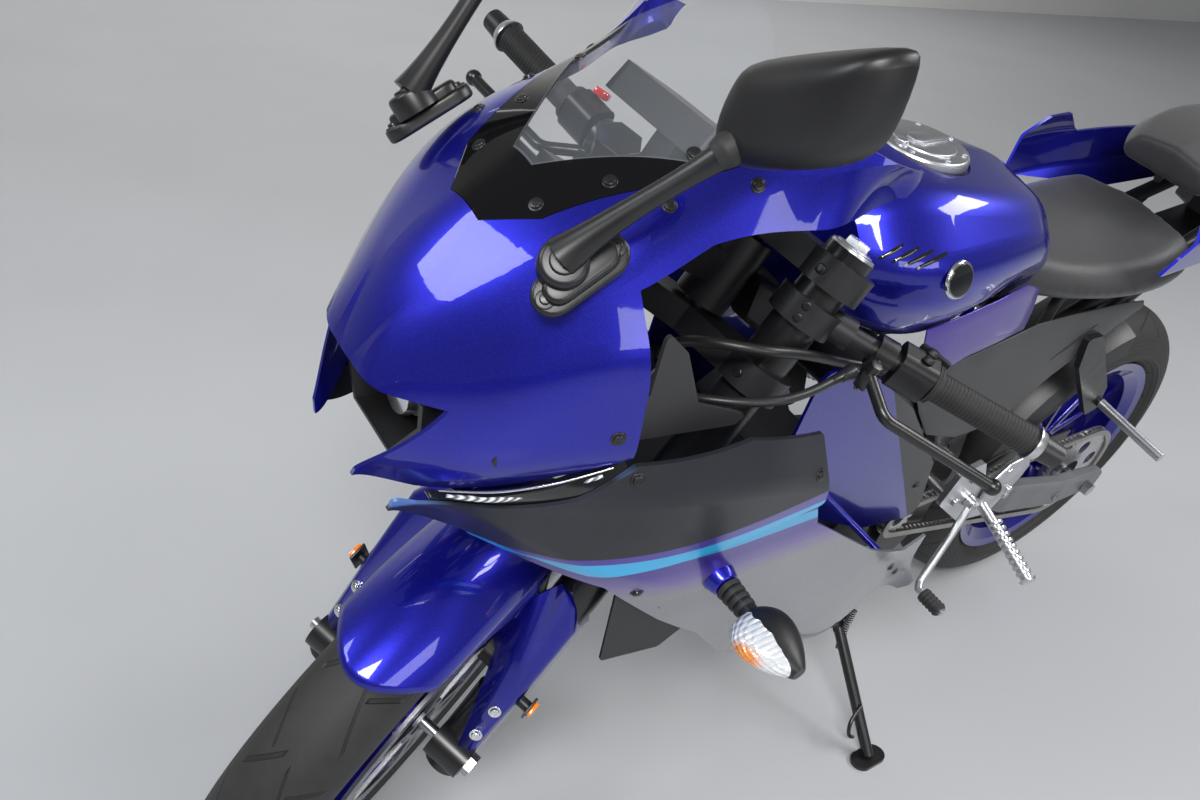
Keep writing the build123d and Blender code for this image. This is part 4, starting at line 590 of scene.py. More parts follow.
# ------------------------------ footrests, pedals and side stand
# Cast aluminium hangers hold ribbed pegs, the gear lever and the brake pedal; the passenger has black stays.
# The steel side stand swings on a bolt under the frame, with a return spring and a wire hook for the foot.
rests = Shader("footrest_metal")
x, y, z = rests.xyz()
wear = rests.noise(25, 4)
stay = (1 - x.ramp(329, 331)) * (1 - abs(y).ramp(115, 116))
rests.set(Base_Color=rests.mix(stay, (0.6, 0.61, 0.63), (0.008, 0.008, 0.0085)), Metallic=1 - stay,
          Roughness=wear * 0.15 + 0.28)
rests.bump(rests.noise(2.0, 3), 0.02)
dress(rests.material, "footrests")
dress(SILVER, "shift_lever", "brake_pedal")
dress(BLACK_METAL, "side_stand")
RUBBER = grained("soft_rubber", (0.014, 0.014, 0.014), 0.62, 1.2, 0.06)


def run(name, points, radius, finish, steered=False, sizes=(), order=3, body=None):
    """A hose, rod or arm of round section along a smooth line; sizes scale it at each point."""
    curve = bpy.data.curves.new(name, "CURVE")
    curve.dimensions = "3D"
    spline = curve.splines.new("NURBS")
    spline.points.add(len(points) - 1)
    for i, point in enumerate(points):
        spline.points[i].co = (*(standing(steered) @ Vector(point)), 1)
        spline.points[i].radius = sizes[i] if sizes else 1
    spline.order_u = order
    spline.use_endpoint_u = True
    curve.resolution_u = 8
    curve.bevel_depth = radius / 1000
    curve.bevel_resolution = 4
    curve.use_fill_caps = True
    drawn = bpy.data.objects.new(name + "_line", curve)
    mesh = bpy.data.meshes.new_from_object(drawn)
    bpy.data.objects.remove(drawn)
    piece(name, mesh, finish, 50, body or ("steering" if steered else ROOT))


FOOT_HOOK = [(594, 232, 116), (610, 236, 104), (622, 244, 92), (620, 252, 74), (606, 252, 66)]
run("stand_hook", FOOT_HOOK, 3.2, BLACK_METAL, body="side_stand")
spring = Shader("spring_steel")
x, y, z = spring.xyz()
# The coils are painted and bumped onto a smooth rod: pale steel along each coil, and near black between coils
# as painted shade in the gaps.
coil_and_gap_shade = z.folded(3.6).ramp(0.4, 1.4)
spring.set(Base_Color=spring.mix(coil_and_gap_shade, (0.02, 0.02, 0.02), (0.3, 0.3, 0.3)), Metallic=0.8,
           Roughness=coil_and_gap_shade * 0.1 + 0.35)
spring.bump(coil_and_gap_shade, 1.2)
run("stand_spring", [(560, 124, 212), (572, 132, 180), (582, 146, 150)], 6, spring.material,
    order=2)
bm = bmesh.new()
peg, tip = Vector((384, 143, 404)), Vector((397, 262, 366))
way = (tip - peg).normalized()
for i in range(9):
    disc(bm, peg + way * (26 + i * 10.5), way, 12, 5, 11.4, 20, soft=1)
disc(bm, tip - way * 3, way, 13.5, 5, 12, 24, soft=1.5)
fitted("peg_ribs", bm, SILVER, pair=True)
LEVER_TIP_OUT = (0.05, 1, 0.05)
bm = bmesh.new()
disc(bm, (547, 196, 328), LEVER_TIP_OUT, 11, 36, 10.4, 28, soft=2)
for i in range(5):
    disc(bm, (547.4, 200 + i * 6.5, 328.3), LEVER_TIP_OUT, 12, 2.6, 11.6, 28, soft=0.8)
fitted("shift_rubber", bm, RUBBER)
HEEL_AT = Vector((356, 131.5, 446))
HEEL_OUTLINE = [(-46, -40), (-10, -54), (30, -30), (44, 22), (20, 50), (-22, 44), (-50, 10)]
LEFT = Vector((0, 1, 0))
bm = bmesh.new()
plate(bm, HEEL_OUTLINE, 5, facing(HEEL_AT, LEFT), soft=2)
for ahead, up in ((-26, -26), (14, 26)):
    disc(bm, HEEL_AT + Vector((ahead, 4.5, up)), LEFT, 7, 3, 6.4, 24, soft=0.8)
fitted("heel_plates", bm, SILVER, pair=True)
bm = bmesh.new()
for x, z in ((456, 476), (474, 436), (330, 470), (318, 400)):
    socket_bolt(bm, (x, 130.2, z), LEFT, 7, 5)
fitted("rearset_bolts", bm, STEEL, pair=True)


# ------------------------------ lower cowls, wings and inner panels
# Moulded cowls close the sides from the radiator to the footrests. A satin charcoal wing overlaps each above,
# bands of violet and light blue part the two, and the cowl below fades into silver grey.
def below(x, z, first, last):
    """How far a point lies below a line seen from the side, in millimetres."""
    slope = (last[1] - first[1]) / (last[0] - first[0])
    return (x - first[0]) * slope + first[1] - z


LIGHT_BLUE = (0.02, 0.42, 0.78)
LILAC = (0.16, 0.11, 0.36)
lower = Shader("lower_cowl_paint")
x, y, z = lower.xyz()
silver = lower.mix(lower.cells(0.8).ramp(0.2, 0.7), (0.17, 0.172, 0.19), (0.27, 0.275, 0.3))
violet = lower.mix(lower.cells(0.8).ramp(0.2, 0.8), (0.03, 0.014, 0.2), (0.07, 0.035, 0.36))
deep = below(x, z, (1262, 652), (960, 655))
paint = lower.mix(deep.ramp(18, 46), violet, LILAC)
paint = lower.mix(deep.ramp(40, 70), paint, silver)
under_top = below(x, z, (1262, 676), (955, 672)).ramp(0, 1)
over_foot = 1 - below(x, z, (1262, 652), (955, 655)).ramp(0, 1)
ahead_of_cut = (x - (z - 660) * 0.9).ramp(958, 960)
paint = lower.mix(under_top * over_foot * ahead_of_cut, paint, LIGHT_BLUE)
lower.set(Base_Color=paint, Metallic=0.5, Roughness=lower.noise(60, 2) * 0.08 + 0.3, Coat_Weight=0.6,
          Coat_Roughness=0.12)
lower.bump(lower.noise(9, 1), 0.02)
dress(lower.material, "side_cowls")

wing = Shader("wing_paint")
x, y, z = wing.xyz()
edge = below(x, z, (1272, 676), (1000, 712)).ramp(-1, 1)
stripe = below(x, z, (1275, 668), (960, 700)).ramp(0, 1)
charcoal = wing.mix(wing.noise(120, 3).ramp(0.3, 0.7), (0.01, 0.0115, 0.016), (0.022, 0.025, 0.033))
top = below(x, z, (1400, 712), (1240, 800)).ramp(8, 3) * x.ramp(1236, 1250)
paint = wing.mix(top, charcoal, (0.12, 0.24, 0.5))
paint = wing.mix(edge, paint, (0.05, 0.025, 0.3))
paint = wing.mix(stripe, paint, LIGHT_BLUE)
wing.set(Base_Color=paint, Metallic=0.35, Roughness=0.42 - edge * 0.12, Coat_Weight=edge * 0.5 + 0.1,
         Coat_Roughness=0.15)
wing.bump(wing.noise(7, 1), 0.03)
dress(wing.material, "wing_panels")

flank = Shader("side_panel_paint")
x, y, z = flank.xyz()
bare = below(x, z, (790, 715), (712, 610)).ramp(1, -1)
flake = flank.cells(0.9).ramp(0.2, 0.7)
paint = flank.mix(flake, (0.003, 0.0025, 0.13), (0.01, 0.011, 0.4))
flank.set(Base_Color=flank.mix(bare, paint, (0.05, 0.05, 0.053)), Metallic=(1 - bare) * 0.78,
          Roughness=bare * 0.15 + 0.32, Coat_Weight=1 - bare, Coat_Roughness=0.04)
flank.bump(flank.noise(1.0, 2), 0.02)
dress(flank.material, "side_panels")

inner = Shader("inner_panel_plastic")
x, y, z = inner.xyz()
grey = inner.mix(z.ramp(700, 705), (0.005, 0.005, 0.0055), (0.022, 0.022, 0.024))
inner.set(Base_Color=grey, Roughness=inner.noise(60, 3) * 0.1 + 0.44)
inner.bump(inner.noise(1.4, 2), 0.1)
dress(inner.material, "inner_panels")


# ------------------------------ upper cowl, screen and dashboard
# The blue nose cowl is one thin moulding on a steel stay, and a black duct fills its mouth.
# A clear screen with a black border is screwed into it, over the dashboard.
dress(BLUE, "upper_cowl")
dress(BLACK_PLASTIC, "nose_duct")
dress(BLACK_METAL, "cowl_stay")
FINE_BLACK = grained("fine_black_plastic", (0.006, 0.006, 0.0065), 0.36, 1.2, 0.02)
dress(FINE_BLACK, "dashboard")
screen = Shader("windscreen")
x, y, z = screen.xyz()
side_band = (abs(y) - ((1217 - x) * 0.2 + 98)).ramp(-13, -12)
front_band = (abs(y) * 1.25 + (x - 1334)).ramp(-28, -26)
border = side_band.most(front_band).most(x.ramp(1287, 1289))
screen.set(Base_Color=screen.mix(border, (0.3, 0.32, 0.35), (0.003, 0.003, 0.0035)),
           Alpha=border * 0.9 + 0.09, Roughness=screen.noise(90, 2) * 0.02 + 0.02,
           Specular_IOR_Level=0.35)
dress(screen.material, "windscreen")


# ------------------------------ lamps and indicators
# A projector lamp sits deep in the nose, and a clear ribbed strip in a black housing lights each side of it.
# The indicators hang on ribbed rubber stalks, with clear lenses over amber bulbs.
GLOSS_BLACK = gloss("gloss_black", (0.006, 0.006, 0.007))
dress(GLOSS_BLACK, "running_lamps")
dress(gloss("clear_lens", (0.72, 0.76, 0.8), 0.42), "headlamp")
dress(BLACK_PLASTIC, "front_indicators")
ribs = Shader("strip_lens")
x, y, z = ribs.xyz()
rib = (x * 0.8 + z * 0.55).folded(3.4).ramp(0.4, 1.4)
ribs.set(Base_Color=ribs.mix(rib, (0.1, 0.11, 0.12), (0.75, 0.78, 0.82)), Roughness=rib * -0.05 + 0.12,
         Emission_Color=ribs.mix(rib, (0.0, 0.0, 0.0), (0.5, 0.52, 0.55)), Emission_Strength=0.1,
         Coat_Weight=1.0, Coat_Roughness=0.03)
ribs.bump(rib, 0.8)
STRIP = [(1366, 107.6, 730), (1345, 129.6, 739), (1318, 146.6, 751), (1292, 161.6, 766), (1262, 175.6, 785)]
TRIM = [(1372, 104, 735), (1345, 130, 748), (1318, 148, 761), (1288, 164, 776), (1256, 178, 795)]
BOTH_SIDES = ((1, "left"), (-1, "right"))


def on_side(points, side):
    """A line of points of the left side, or its mirror image on the right."""
    return [(x, y * side, z) for x, y, z in points]


for side, name in BOTH_SIDES:
    run("running_strip_" + name, on_side(STRIP, side), 3.2, ribs.material,
        sizes=(0.5, 1.0, 1.1, 1.0, 0.5))
    run("running_trim_" + name, on_side(TRIM, side), 1.3, CHROME,
        sizes=(0.6, 1, 1, 1, 0.6))

INDICATOR = Vector((1073, 206, 600))
bm = bmesh.new()
for i in range(4):
    shrink = i * 0.6
    disc(bm, INDICATOR + LEFT * (10 + i * 8.5), LEFT, 14.5 - shrink, 5, 14 - shrink, 32, soft=1.2)
fitted("indicator_boots", bm, RUBBER, pair=True)
bm = bmesh.new()
disc(bm, INDICATOR - LEFT * 6, LEFT, 19, 14, 15, 32, soft=3)
fitted("indicator_bases", bm, BLUE, pair=True)
lens = Shader("indicator_lens")
x, y, z = lens.xyz(tuple(INDICATOR))
across = abs(y)
bulb = ((across - 84) * (across - 84) * 0.4 + z * z).maths("SQRT")
facets = (z + across * 0.4).folded(5).ramp(0.6, 1.8) * 0.5 + (across - z * 0.3).folded(6).ramp(0.6, 2) * 0.5
lens.set(Base_Color=lens.mix(bulb.ramp(13, 6), (0.72, 0.74, 0.76), (0.9, 0.3, 0.05)), Metallic=0.25,
         Roughness=facets * 0.12 + 0.08, Coat_Weight=1.0, Coat_Roughness=0.02)
lens.bump(facets, 1.2)
# Each ring of the lens has its distance out, its half width, its half height and its distance ahead.
LENS_RINGS = ((47, 12, 10, 6), (52, 22, 15, 10), (66, 30, 19, 12), (84, 29, 19, 12), (100, 23, 15.5, 10),
              (114, 15, 11, 6), (123, 6, 6, 2))
bm = bmesh.new()
rings = []
for out, wide, high, ahead in LENS_RINGS:
    made = bmesh.ops.create_circle(bm, segments=40, radius=1)
    oval = Matrix.Diagonal((wide, 1, high, 1)) @ Matrix.Rotation(PI / 2, 4, "X")
    matrix = Matrix.Translation(INDICATOR + Vector((ahead, out, 0))) @ oval
    bmesh.ops.transform(bm, matrix=matrix, verts=made["verts"])
    rings.append(list({e for v in made["verts"] for e in v.link_edges}))
for i in range(len(rings) - 1):
    bmesh.ops.bridge_loops(bm, edges=rings[i] + rings[i + 1])
bmesh.ops.holes_fill(bm, edges=rings[0] + rings[-1])
bmesh.ops.bisect_plane(bm, geom=bm.verts[:] + bm.edges[:] + bm.faces[:], clear_inner=True,
                       plane_co=INDICATOR + Vector((10, 0, 0)), plane_no=(1, 0, 0))
bmesh.ops.holes_fill(bm, edges=[e for e in bm.edges if e.is_boundary])
fitted("indicator_lenses", bm, lens.material, pair=True, sharp=50)
bm = bmesh.new()
disc(bm, (1361, 0, 762), (1, 0, 0.05), 25, 7, 23, 48, soft=1)
fitted("projector_ring", bm, CHROME)


# ------------------------------ mirrors
# Each mirror is a moulded shell with its glass at the rear, on a cast arm that swings on a knob.
# Its oval base stands on the cowl, and two bolts hold it through the cowl to the stay.
dress(BLACK_PLASTIC, "mirrors")
MIRROR_OUTLINE = ((133, 1077), (141, 1132), (152, 1142), (247, 1194), (258, 1193), (262, 1139), (252, 1121),
                  (233, 1102), (182, 1073), (154, 1062))
MIRROR_SIDE = 196
MIRROR_UP = 1124
SHELL_RINGS = ((1203, 0.9), (1203, 0.965), (1207, 1.0), (1222, 0.99), (1236, 0.9), (1244, 0.72), (1248, 0.4))


def mirror_ring(x, grow, sweep):
    """The outline of the mirror, shrunk about its middle and swept back towards its outer end."""
    return [(x - (y - MIRROR_SIDE) * sweep, MIRROR_SIDE + (y - MIRROR_SIDE) * grow,
             MIRROR_UP + (z - MIRROR_UP) * grow) for y, z in MIRROR_OUTLINE]


bm = bmesh.new()
ring = None
for x, grow in SHELL_RINGS:
    verts = [bm.verts.new(point) for point in mirror_ring(x, grow, 0.02)]
    edges = [bm.edges.new((verts[i], verts[(i + 1) % len(verts)])) for i in range(len(verts))]
    if ring:
        bmesh.ops.bridge_loops(bm, edges=ring + edges)
    else:
        bm.faces.new(verts)
    ring = edges
bm.faces.new([e.verts[0] for e in ring])
shell = fitted("mirror_shells", bm, BLACK_PLASTIC, pair=True, sharp=60, replaces=("mirrors",))
rounded = shell.modifiers.new("rounded", "SUBSURF")
rounded.levels = rounded.render_levels = 2

bm = bmesh.new()
bm.faces.new([bm.verts.new(point) for point in mirror_ring(1202.2, 0.9, 0)])
MIRROR_GLASS = metal("mirror_glass", (0.86, 0.88, 0.9), 0.12)
fitted("mirror_glasses", bm, MIRROR_GLASS, pair=True)

BASE_AT = Vector((1302, 124, 958))
BASE_OUT = Vector((0.45, 0.55, 0.7)).normalized()
BASE_ROUND = 17
BASE_REACH = 26
BOLT_REACH = 33
KNOB = Vector((1319, 122, 968))
flat = facing(BASE_AT, BASE_OUT)
along = flat.to_3x3().inverted() @ Vector((0.8, 0, -0.6))
base = flat @ Matrix.Rotation(math.atan2(along.y, along.x), 4, "Z")
ahead = base.to_3x3() @ Vector((1, 0, 0))
oblong = []
for middle, start in ((BASE_REACH, -90), (-BASE_REACH, 90)):
    for step in range(9):
        angle = math.radians(start + step * 22.5)
        oblong.append((middle + BASE_ROUND * math.cos(angle), BASE_ROUND * math.sin(angle)))
bm = bmesh.new()
plate(bm, oblong, 13, base, soft=3.5, segments=4)
plate(bm, [(x * 0.78, y * 0.72) for x, y in oblong], 22, base, soft=4, segments=4)
disc(bm, KNOB, BASE_OUT, 20, 20, 19, 40, soft=4)
disc(bm, KNOB + BASE_OUT * 20, BASE_OUT, 11, 2.5, 10.5, 32, soft=1)
bolts = bmesh.new()
for reach in (-BOLT_REACH, BOLT_REACH):
    at = BASE_AT + ahead * reach
    disc(bm, at + BASE_OUT * 11, BASE_OUT, 8, 3, 7.6, 24, soft=0.8)
    socket_bolt(bolts, at + BASE_OUT * 13.6, BASE_OUT, 4.6, 3)
socket_bolt(bolts, KNOB + BASE_OUT * 22, BASE_OUT, 4.5, 1.2)
fitted("mirror_bases", bm, FINE_BLACK, pair=True)
fitted("mirror_bolts", bolts, BLACK_METAL, pair=True)
MIRROR_ARM = [(1326, 128, 982), (1318, 131, 993), (1290, 143, 1026), (1262, 157, 1058), (1244, 167, 1080),
              (1236, 171, 1090)]
ARM_BOOT = [(1248, 165, 1077), (1243, 167.5, 1083), (1238, 170, 1089), (1233, 173, 1095)]
for side, name in BOTH_SIDES:
    run("mirror_arm_" + name, on_side(MIRROR_ARM, side), 8.6, FINE_BLACK,
        sizes=(1.9, 1.45, 1.0, 0.92, 1.2, 1.35))
    run("mirror_boot_" + name, on_side(ARM_BOOT, side), 12, RUBBER, sizes=(0.9, 1.1, 1.0, 1.25), order=2)


# ------------------------------ handlebars
# Clip-on bars under the top yoke carry ribbed rubber grips, switch boxes and forged levers on their perches.
# Cables and the brake hose run from them to the steering head and the caliper.
dress(SATIN_BLACK, "clip_ons")
dress(FINE_BLACK, "switches")
dress(BLACK_METAL, "levers")
BAR_END = Vector((952, 364, 872))
BAR_RUN = (BAR_END - on_fork(960, FORK_AHEAD, FORK_SIDE)).normalized()
grip = Shader("grip_ribs", True)
x, y, z = grip.xyz(BAR_END)
axial = x * BAR_RUN.x + y * BAR_RUN.y + z * BAR_RUN.z
rib = (axial.folded(4.0) * 0.7).ramp(0.35, 0.75)
dust = grip.noise(20, 3)
grip.set(Base_Color=grip.mix(dust, (0.008, 0.008, 0.008), (0.022, 0.022, 0.021)), Roughness=dust * 0.1 + 0.56)
grip.bump(rib + grip.noise(1.5, 2) * 0.15, 1.1)
dress(grip.material, "grips")

bm = bmesh.new()
disc(bm, BAR_END - BAR_RUN * 13, BAR_RUN, 19, 3, 19, 40, soft=1)
disc(bm, BAR_END - BAR_RUN * 10, BAR_RUN, 17.5, 8, 15, 40, soft=2)
disc(bm, BAR_END + BAR_RUN * 16, BAR_RUN, 13, 3, 11, 32, soft=1)
fitted("bar_ends", bm, SILVER, steered=True, pair=True)

# The left box has the horn and indicator buttons, the right one a red stop switch.
SWITCH_BACK = (-1, 0, 0.1)
bm = bmesh.new()
box = BAR_END - BAR_RUN * 150
for ahead, up, size in ((-14, 21.6, 7), (4, 22.5, 6), (-12, -21.6, 6)):
    out = (-0.3, 0, math.copysign(1, up))
    disc(bm, box + Vector((ahead, 0, up)), out, size, 5, size * 0.85, 16, soft=1)
tablet(bm, 18, 20, 6, facing(box + Vector((-20, 4, 2)), SWITCH_BACK), 3)
disc(bm, box + Vector((-26, 2, 10)), SWITCH_BACK, 6.5, 7, 5.5, 20, soft=1.5)
disc(bm, box + Vector((-26, -6, -8)), SWITCH_BACK, 5.5, 6, 4.5, 20, soft=1.5)
fitted("switch_buttons_left", bm, BLACK_PLASTIC, steered=True)
bm = bmesh.new()
right_box = Vector((box.x, -box.y, box.z))
tablet(bm, 9, 7, 9, facing(right_box + Vector((-12, 4, 22)), (-0.5, 0, 1)), 2.5)
fitted("stop_switch", bm, gloss("switch_red", (0.6, 0.01, 0.012)), steered=True)

RESERVOIR = Vector((1052, -150, 884))
RESERVOIR_UP = (0.1, 0, 1)
bm = bmesh.new()
disc(bm, RESERVOIR, RESERVOIR_UP, 23, 30, 25, 6, turn=30, soft=3)
disc(bm, RESERVOIR + Vector((3, 0, 30)), RESERVOIR_UP, 27, 5, 27, 6, turn=30, soft=2)
tablet(bm, 24, 9, 16, facing(RESERVOIR + Vector((-8, 20, -8)), (1, 0, 0.1), 90), 3)
fitted("brake_reservoir", bm, FINE_BLACK, steered=True)
PERCH_OUTLINE = [(-20, -8), (20, -8), (24, 2), (10, 10), (-18, 9)]
ADJUSTER_OUT = (1, -0.3, -0.1)
bm = bmesh.new()
plate(bm, PERCH_OUTLINE, 14, facing((1026, 176, 862), LEFT), soft=2.5)
disc(bm, (1032.8, 181, 858), (0, 0.1, 1), 7, 24, 7, 24, soft=1)
disc(bm, (1046, 168, 866), ADJUSTER_OUT, 8, 18, 6, 24, soft=1)
disc(bm, (1062, 163, 864), ADJUSTER_OUT, 5.5, 16, 4.5, 24, soft=1)
fitted("lever_perches", bm, BLACK_METAL, steered=True, pair=True)

CABLE = grained("cable_sheath", (0.01, 0.01, 0.01), 0.4, 2.0, 0.03)
CLUTCH_CABLE = [(1070, 160, 863), (1110, 150, 858), (1158, 120, 850), (1186, 70, 830), (1170, 30, 790),
                (1120, 16, 742), (1060, 10, 720)]
SWITCH_CABLE = [(940, 212, 850), (965, 190, 836), (1010, 150, 840), (1066, 120, 860), (1112, 90, 866),
                (1130, 40, 846), (1110, 10, 800), (1070, 6, 750)]
THROTTLE_CABLE = [(950, -214, 852), (1000, -186, 842), (1070, -150, 862), (1128, -110, 876),
                  (1146, -50, 850), (1118, -14, 790), (1070, -6, 740)]
BRAKE_HOSE = [(1062, -126, 884), (1110, -110, 890), (1170, -70, 870), (1200, -10, 800), (1210, 20, 720),
              (1222, 40, 620), (1236, 64, 520), (1248, 92, 470), (1240, 108, 440), (1226, 100, 410)]
SENSOR_LEAD = [(1236, 74, 500), (1262, 78, 440), (1290, 80, 380), (1310, 78, 330)]
run("clutch_cable", CLUTCH_CABLE, 4.6, CABLE, steered=True)
run("switch_cable_left", SWITCH_CABLE, 5.6, CABLE, steered=True)
run("throttle_cable", THROTTLE_CABLE, 4.4, CABLE, steered=True)
run("brake_hose", BRAKE_HOSE, 4.6, CABLE, steered=True)
run("sensor_lead", SENSOR_LEAD, 2.4, CABLE, steered=True)


# ------------------------------ fuel tank
# The tank is a pressed steel shell, painted blue. Each flank has four dark louvres and a plain round badge,
# and the cap is a cast ring with a hinged flap.
dress(BLUE, "fuel_tank")
dress(SILVER, "fuel_cap")
TANK_OUT = Vector((0.3, 0.8, 0.5)).normalized()


def skin_point(node, at, toward):
    """Where a line from a point meets a solid of the frame, and which way the solid faces there."""
    there = standing()
    here = there.inverted()
    origin = there @ Vector(at)
    way = (there.to_3x3() @ Vector(toward)).normalized()
    hit, spot, normal, _ = frame["nodes"][node].ray_cast(origin, way)
    if not hit:
        return None
    out = (here.to_3x3() @ normal).normalized()
    return here @ spot, (out if out.dot(Vector(toward)) < 0 else -out)


LOUVRE_WIDTH = 5.4
LOUVRE_SECTION = ((-1, -0.3), (-0.8, 0.5), (0.8, 0.5), (1, -0.3))
LOUVRE_STEPS = 10


def louvre(bm, first, last):
    """A narrow strip laid on the side of the tank between two points, thinner at its ends."""
    lines = []
    for i in range(LOUVRE_STEPS + 1):
        share = i / LOUVRE_STEPS
        found = skin_point("fuel_tank", first.lerp(last, share) + TANK_OUT * 60, -TANK_OUT)
        if found:
            spot, out = found
            across = out.cross(last - first).normalized()
            half = LOUVRE_WIDTH / 2 * (0.35 + 0.65 * math.sin(PI * (0.12 + 0.76 * share)))
            lines.append([spot + out * up + across * half * side for side, up in LOUVRE_SECTION])
    lofted(bm, lines)


bm = bmesh.new()
for i in range(4):
    foot = Vector((902 - 11 * i, 95 + 6.5 * i, 903 - i))
    louvre(bm, foot, foot + Vector((-22 - 4 * i, 6, 19)))
fitted("tank_louvres", bm, GLOSS_BLACK, pair=True, sharp=60)
BADGE = Vector((818, 141.4, 897))
BADGE_OUT = Vector((0.05, 0.93, 0.36)).normalized()
bm = bmesh.new()
disc(bm, BADGE, BADGE_OUT, 21, 2.4, 20, 56, soft=0.8)
disc(bm, BADGE + BADGE_OUT * 2.1, BADGE_OUT, 18.6, 1.0, sides=56)
fitted("tank_badges", bm, CHROME, pair=True)
bm = bmesh.new()
disc(bm, BADGE + BADGE_OUT * 2.9, BADGE_OUT, 17.6, 0.9, 17.2, 56, soft=0.3)
fitted("badge_faces", bm, GLOSS_BLACK, pair=True)
CAP_AT = Vector((772, 0, 974.6))
CAP_BOLTS = 7
FLAP_OUTLINE = [(-30, -9), (16, -12), (26, -6), (26, 6), (16, 12), (-30, 9)]
UPWARD = Vector((0, 0, 1))
bm = bmesh.new()
disc(bm, CAP_AT, UPWARD, 54, 3.2, 52, 72, soft=1.4)
disc(bm, CAP_AT + UPWARD * 3, UPWARD, 38, 2.4, 37, 64, soft=1)
plate(bm, FLAP_OUTLINE, 4.5, facing(CAP_AT + UPWARD * 4.6, UPWARD, 180), soft=1.5)
disc(bm, CAP_AT + Vector((38, 0, 2)), UPWARD, 8, 6, 7, 24, soft=1)
for i in range(CAP_BOLTS):
    angle = math.radians(25 + i * 360 / CAP_BOLTS)
    at = CAP_AT + Vector((46 * math.cos(angle), 46 * math.sin(angle), 2.8))
    socket_bolt(bm, at, UPWARD, 3.6, 2.2)
fitted("cap_details", bm, SILVER, body="fuel_cap")


# ------------------------------ side covers
# Grey moulded covers close the frame under the seat, each with a dark slot; a painted skirt joins each to
# the tank above it. They are clipped and screwed to the frame.
COVER_WALL = 2.5
COVER_ROWS = 5


def sheet(name, top, bottom, finish, bulge):
    """A moulded sheet between two lines, bulging between them, mirrored to both sides."""
    lines = []
    for high, low in zip(top, bottom):
        line = []
        for i in range(COVER_ROWS + 1):
            share = i / COVER_ROWS
            line.append(Vector(high).lerp(Vector(low), share) + LEFT * bulge * math.sin(PI * share))
        lines.append(line)
    bm = bmesh.new()
    lofted(bm, lines)
    made = fitted(name, bm, finish, pair=True, sharp=50)
    walled(made, COVER_WALL, 0)
    edge = made.modifiers.new("edge", "BEVEL")
    edge.width = 0.0008
    edge.segments = 2


COVER_GREY = grained("cover_grey", (0.032, 0.032, 0.034), 0.5, 1.2, 0.04)
COVER_TOP = [(735, 115, 704), (662, 117, 741), (586, 115, 753), (504, 107, 758), (398, 97, 748),
             (264, 91, 739), (172, 86, 728)]
COVER_FOOT = [(700, 117, 664), (650, 118, 612), (566, 116, 582), (450, 108, 572), (357, 100, 630),
              (262, 92, 668), (168, 86, 712)]
SKIRT_TOP = [(790, 122, 812), (730, 122, 822), (670, 120, 832), (608, 113, 840), (556, 104, 822)]
SKIRT_FOOT = [(745, 117, 716), (700, 118, 728), (664, 118, 745), (600, 116, 756), (546, 110, 760)]
sheet("side_covers", COVER_TOP, COVER_FOOT, COVER_GREY, 3)
sheet("tank_skirts", SKIRT_TOP, SKIRT_FOOT, lower.material, 2)
SLOT_TURN = Matrix.Rotation(math.radians(3.2), 4, "Z")
SLOT_SLOPE = Matrix.Rotation(math.atan2(46, 125), 4, "Y")
SLOT_FACE = Matrix.Rotation(-PI / 2, 4, "X")
SLOT_AT = Matrix.Translation((362, 99.5, 686)) @ SLOT_TURN @ SLOT_SLOPE @ SLOT_FACE
bm = bmesh.new()
for long, high, out in ((66, 9, 2.0), (44, 4.2, 3.6)):
    outline = [(-long, -high * 0.6), (-long * 0.8, -high), (long * 0.86, -high), (long, -high * 0.3),
               (long * 0.8, high), (-long * 0.9, high)]
    plate(bm, outline, out, SLOT_AT, soft=0.7)
fitted("cover_slots", bm, BLACK_PLASTIC, pair=True)


# ------------------------------ seats
# Foam pads under stretched vinyl: the rider's is one broad saddle, the passenger's a small crowned pad that
# locks down with a key.
vinyl = Shader("seat_vinyl")
grain = vinyl.cells(2.6)
cloud = vinyl.noise(90, 3)
vinyl.set(Base_Color=vinyl.mix(cloud.ramp(0.3, 0.7), (0.011, 0.011, 0.012), (0.021, 0.021, 0.022)),
          Roughness=cloud * 0.14 + 0.42 + grain * 0.08, Sheen_Weight=0.15)
vinyl.bump(grain * 0.7 + vinyl.noise(0.9, 2) * 0.3, 0.22)
dress(vinyl.material, "rider_seat", "pillion_seat")


CUSHION_GRID = 0.005


def cushion(name, node, rounds):
    """A padded piece over a solid of the frame, with its edges softened by some rounds of smoothing."""
    bm = bmesh.new()
    bm.from_mesh(frame["nodes"][node].data)
    bmesh.ops.remove_doubles(bm, verts=bm.verts, dist=1e-5)
    raw = bpy.data.meshes.new(name + "_raw")
    bm.to_mesh(raw)
    bm.free()
    drawn = bpy.data.objects.new(name + "_raw", raw)
    bpy.context.collection.objects.link(drawn)
    even = drawn.modifiers.new("even", "REMESH")
    even.mode = "VOXEL"
    even.voxel_size = CUSHION_GRID
    soft = drawn.modifiers.new("soft", "SMOOTH")
    soft.factor = 0.5
    soft.iterations = rounds
    bpy.context.view_layer.update()
    mesh = bpy.data.meshes.new_from_object(drawn.evaluated_get(bpy.context.evaluated_depsgraph_get()))
    bpy.data.objects.remove(drawn)
    made = piece(name, mesh, vinyl.material, 180, ROOT)
    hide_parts(node)


cushion("rider_cushion", "rider_seat", 10)
cushion("pillion_cushion", "pillion_seat", 8)
SEAT_LOCK = Vector((150, 44, 922))
SEAT_LOCK_OUT = Vector((0.8, 0.35, 0.45)).normalized()
bm = bmesh.new()
disc(bm, SEAT_LOCK, SEAT_LOCK_OUT, 11, 6, 10, 32, soft=2)
disc(bm, SEAT_LOCK + SEAT_LOCK_OUT * 6, SEAT_LOCK_OUT, 6.5, 1.5, 6, 32, soft=0.5)
fitted("seat_lock", bm, SILVER)


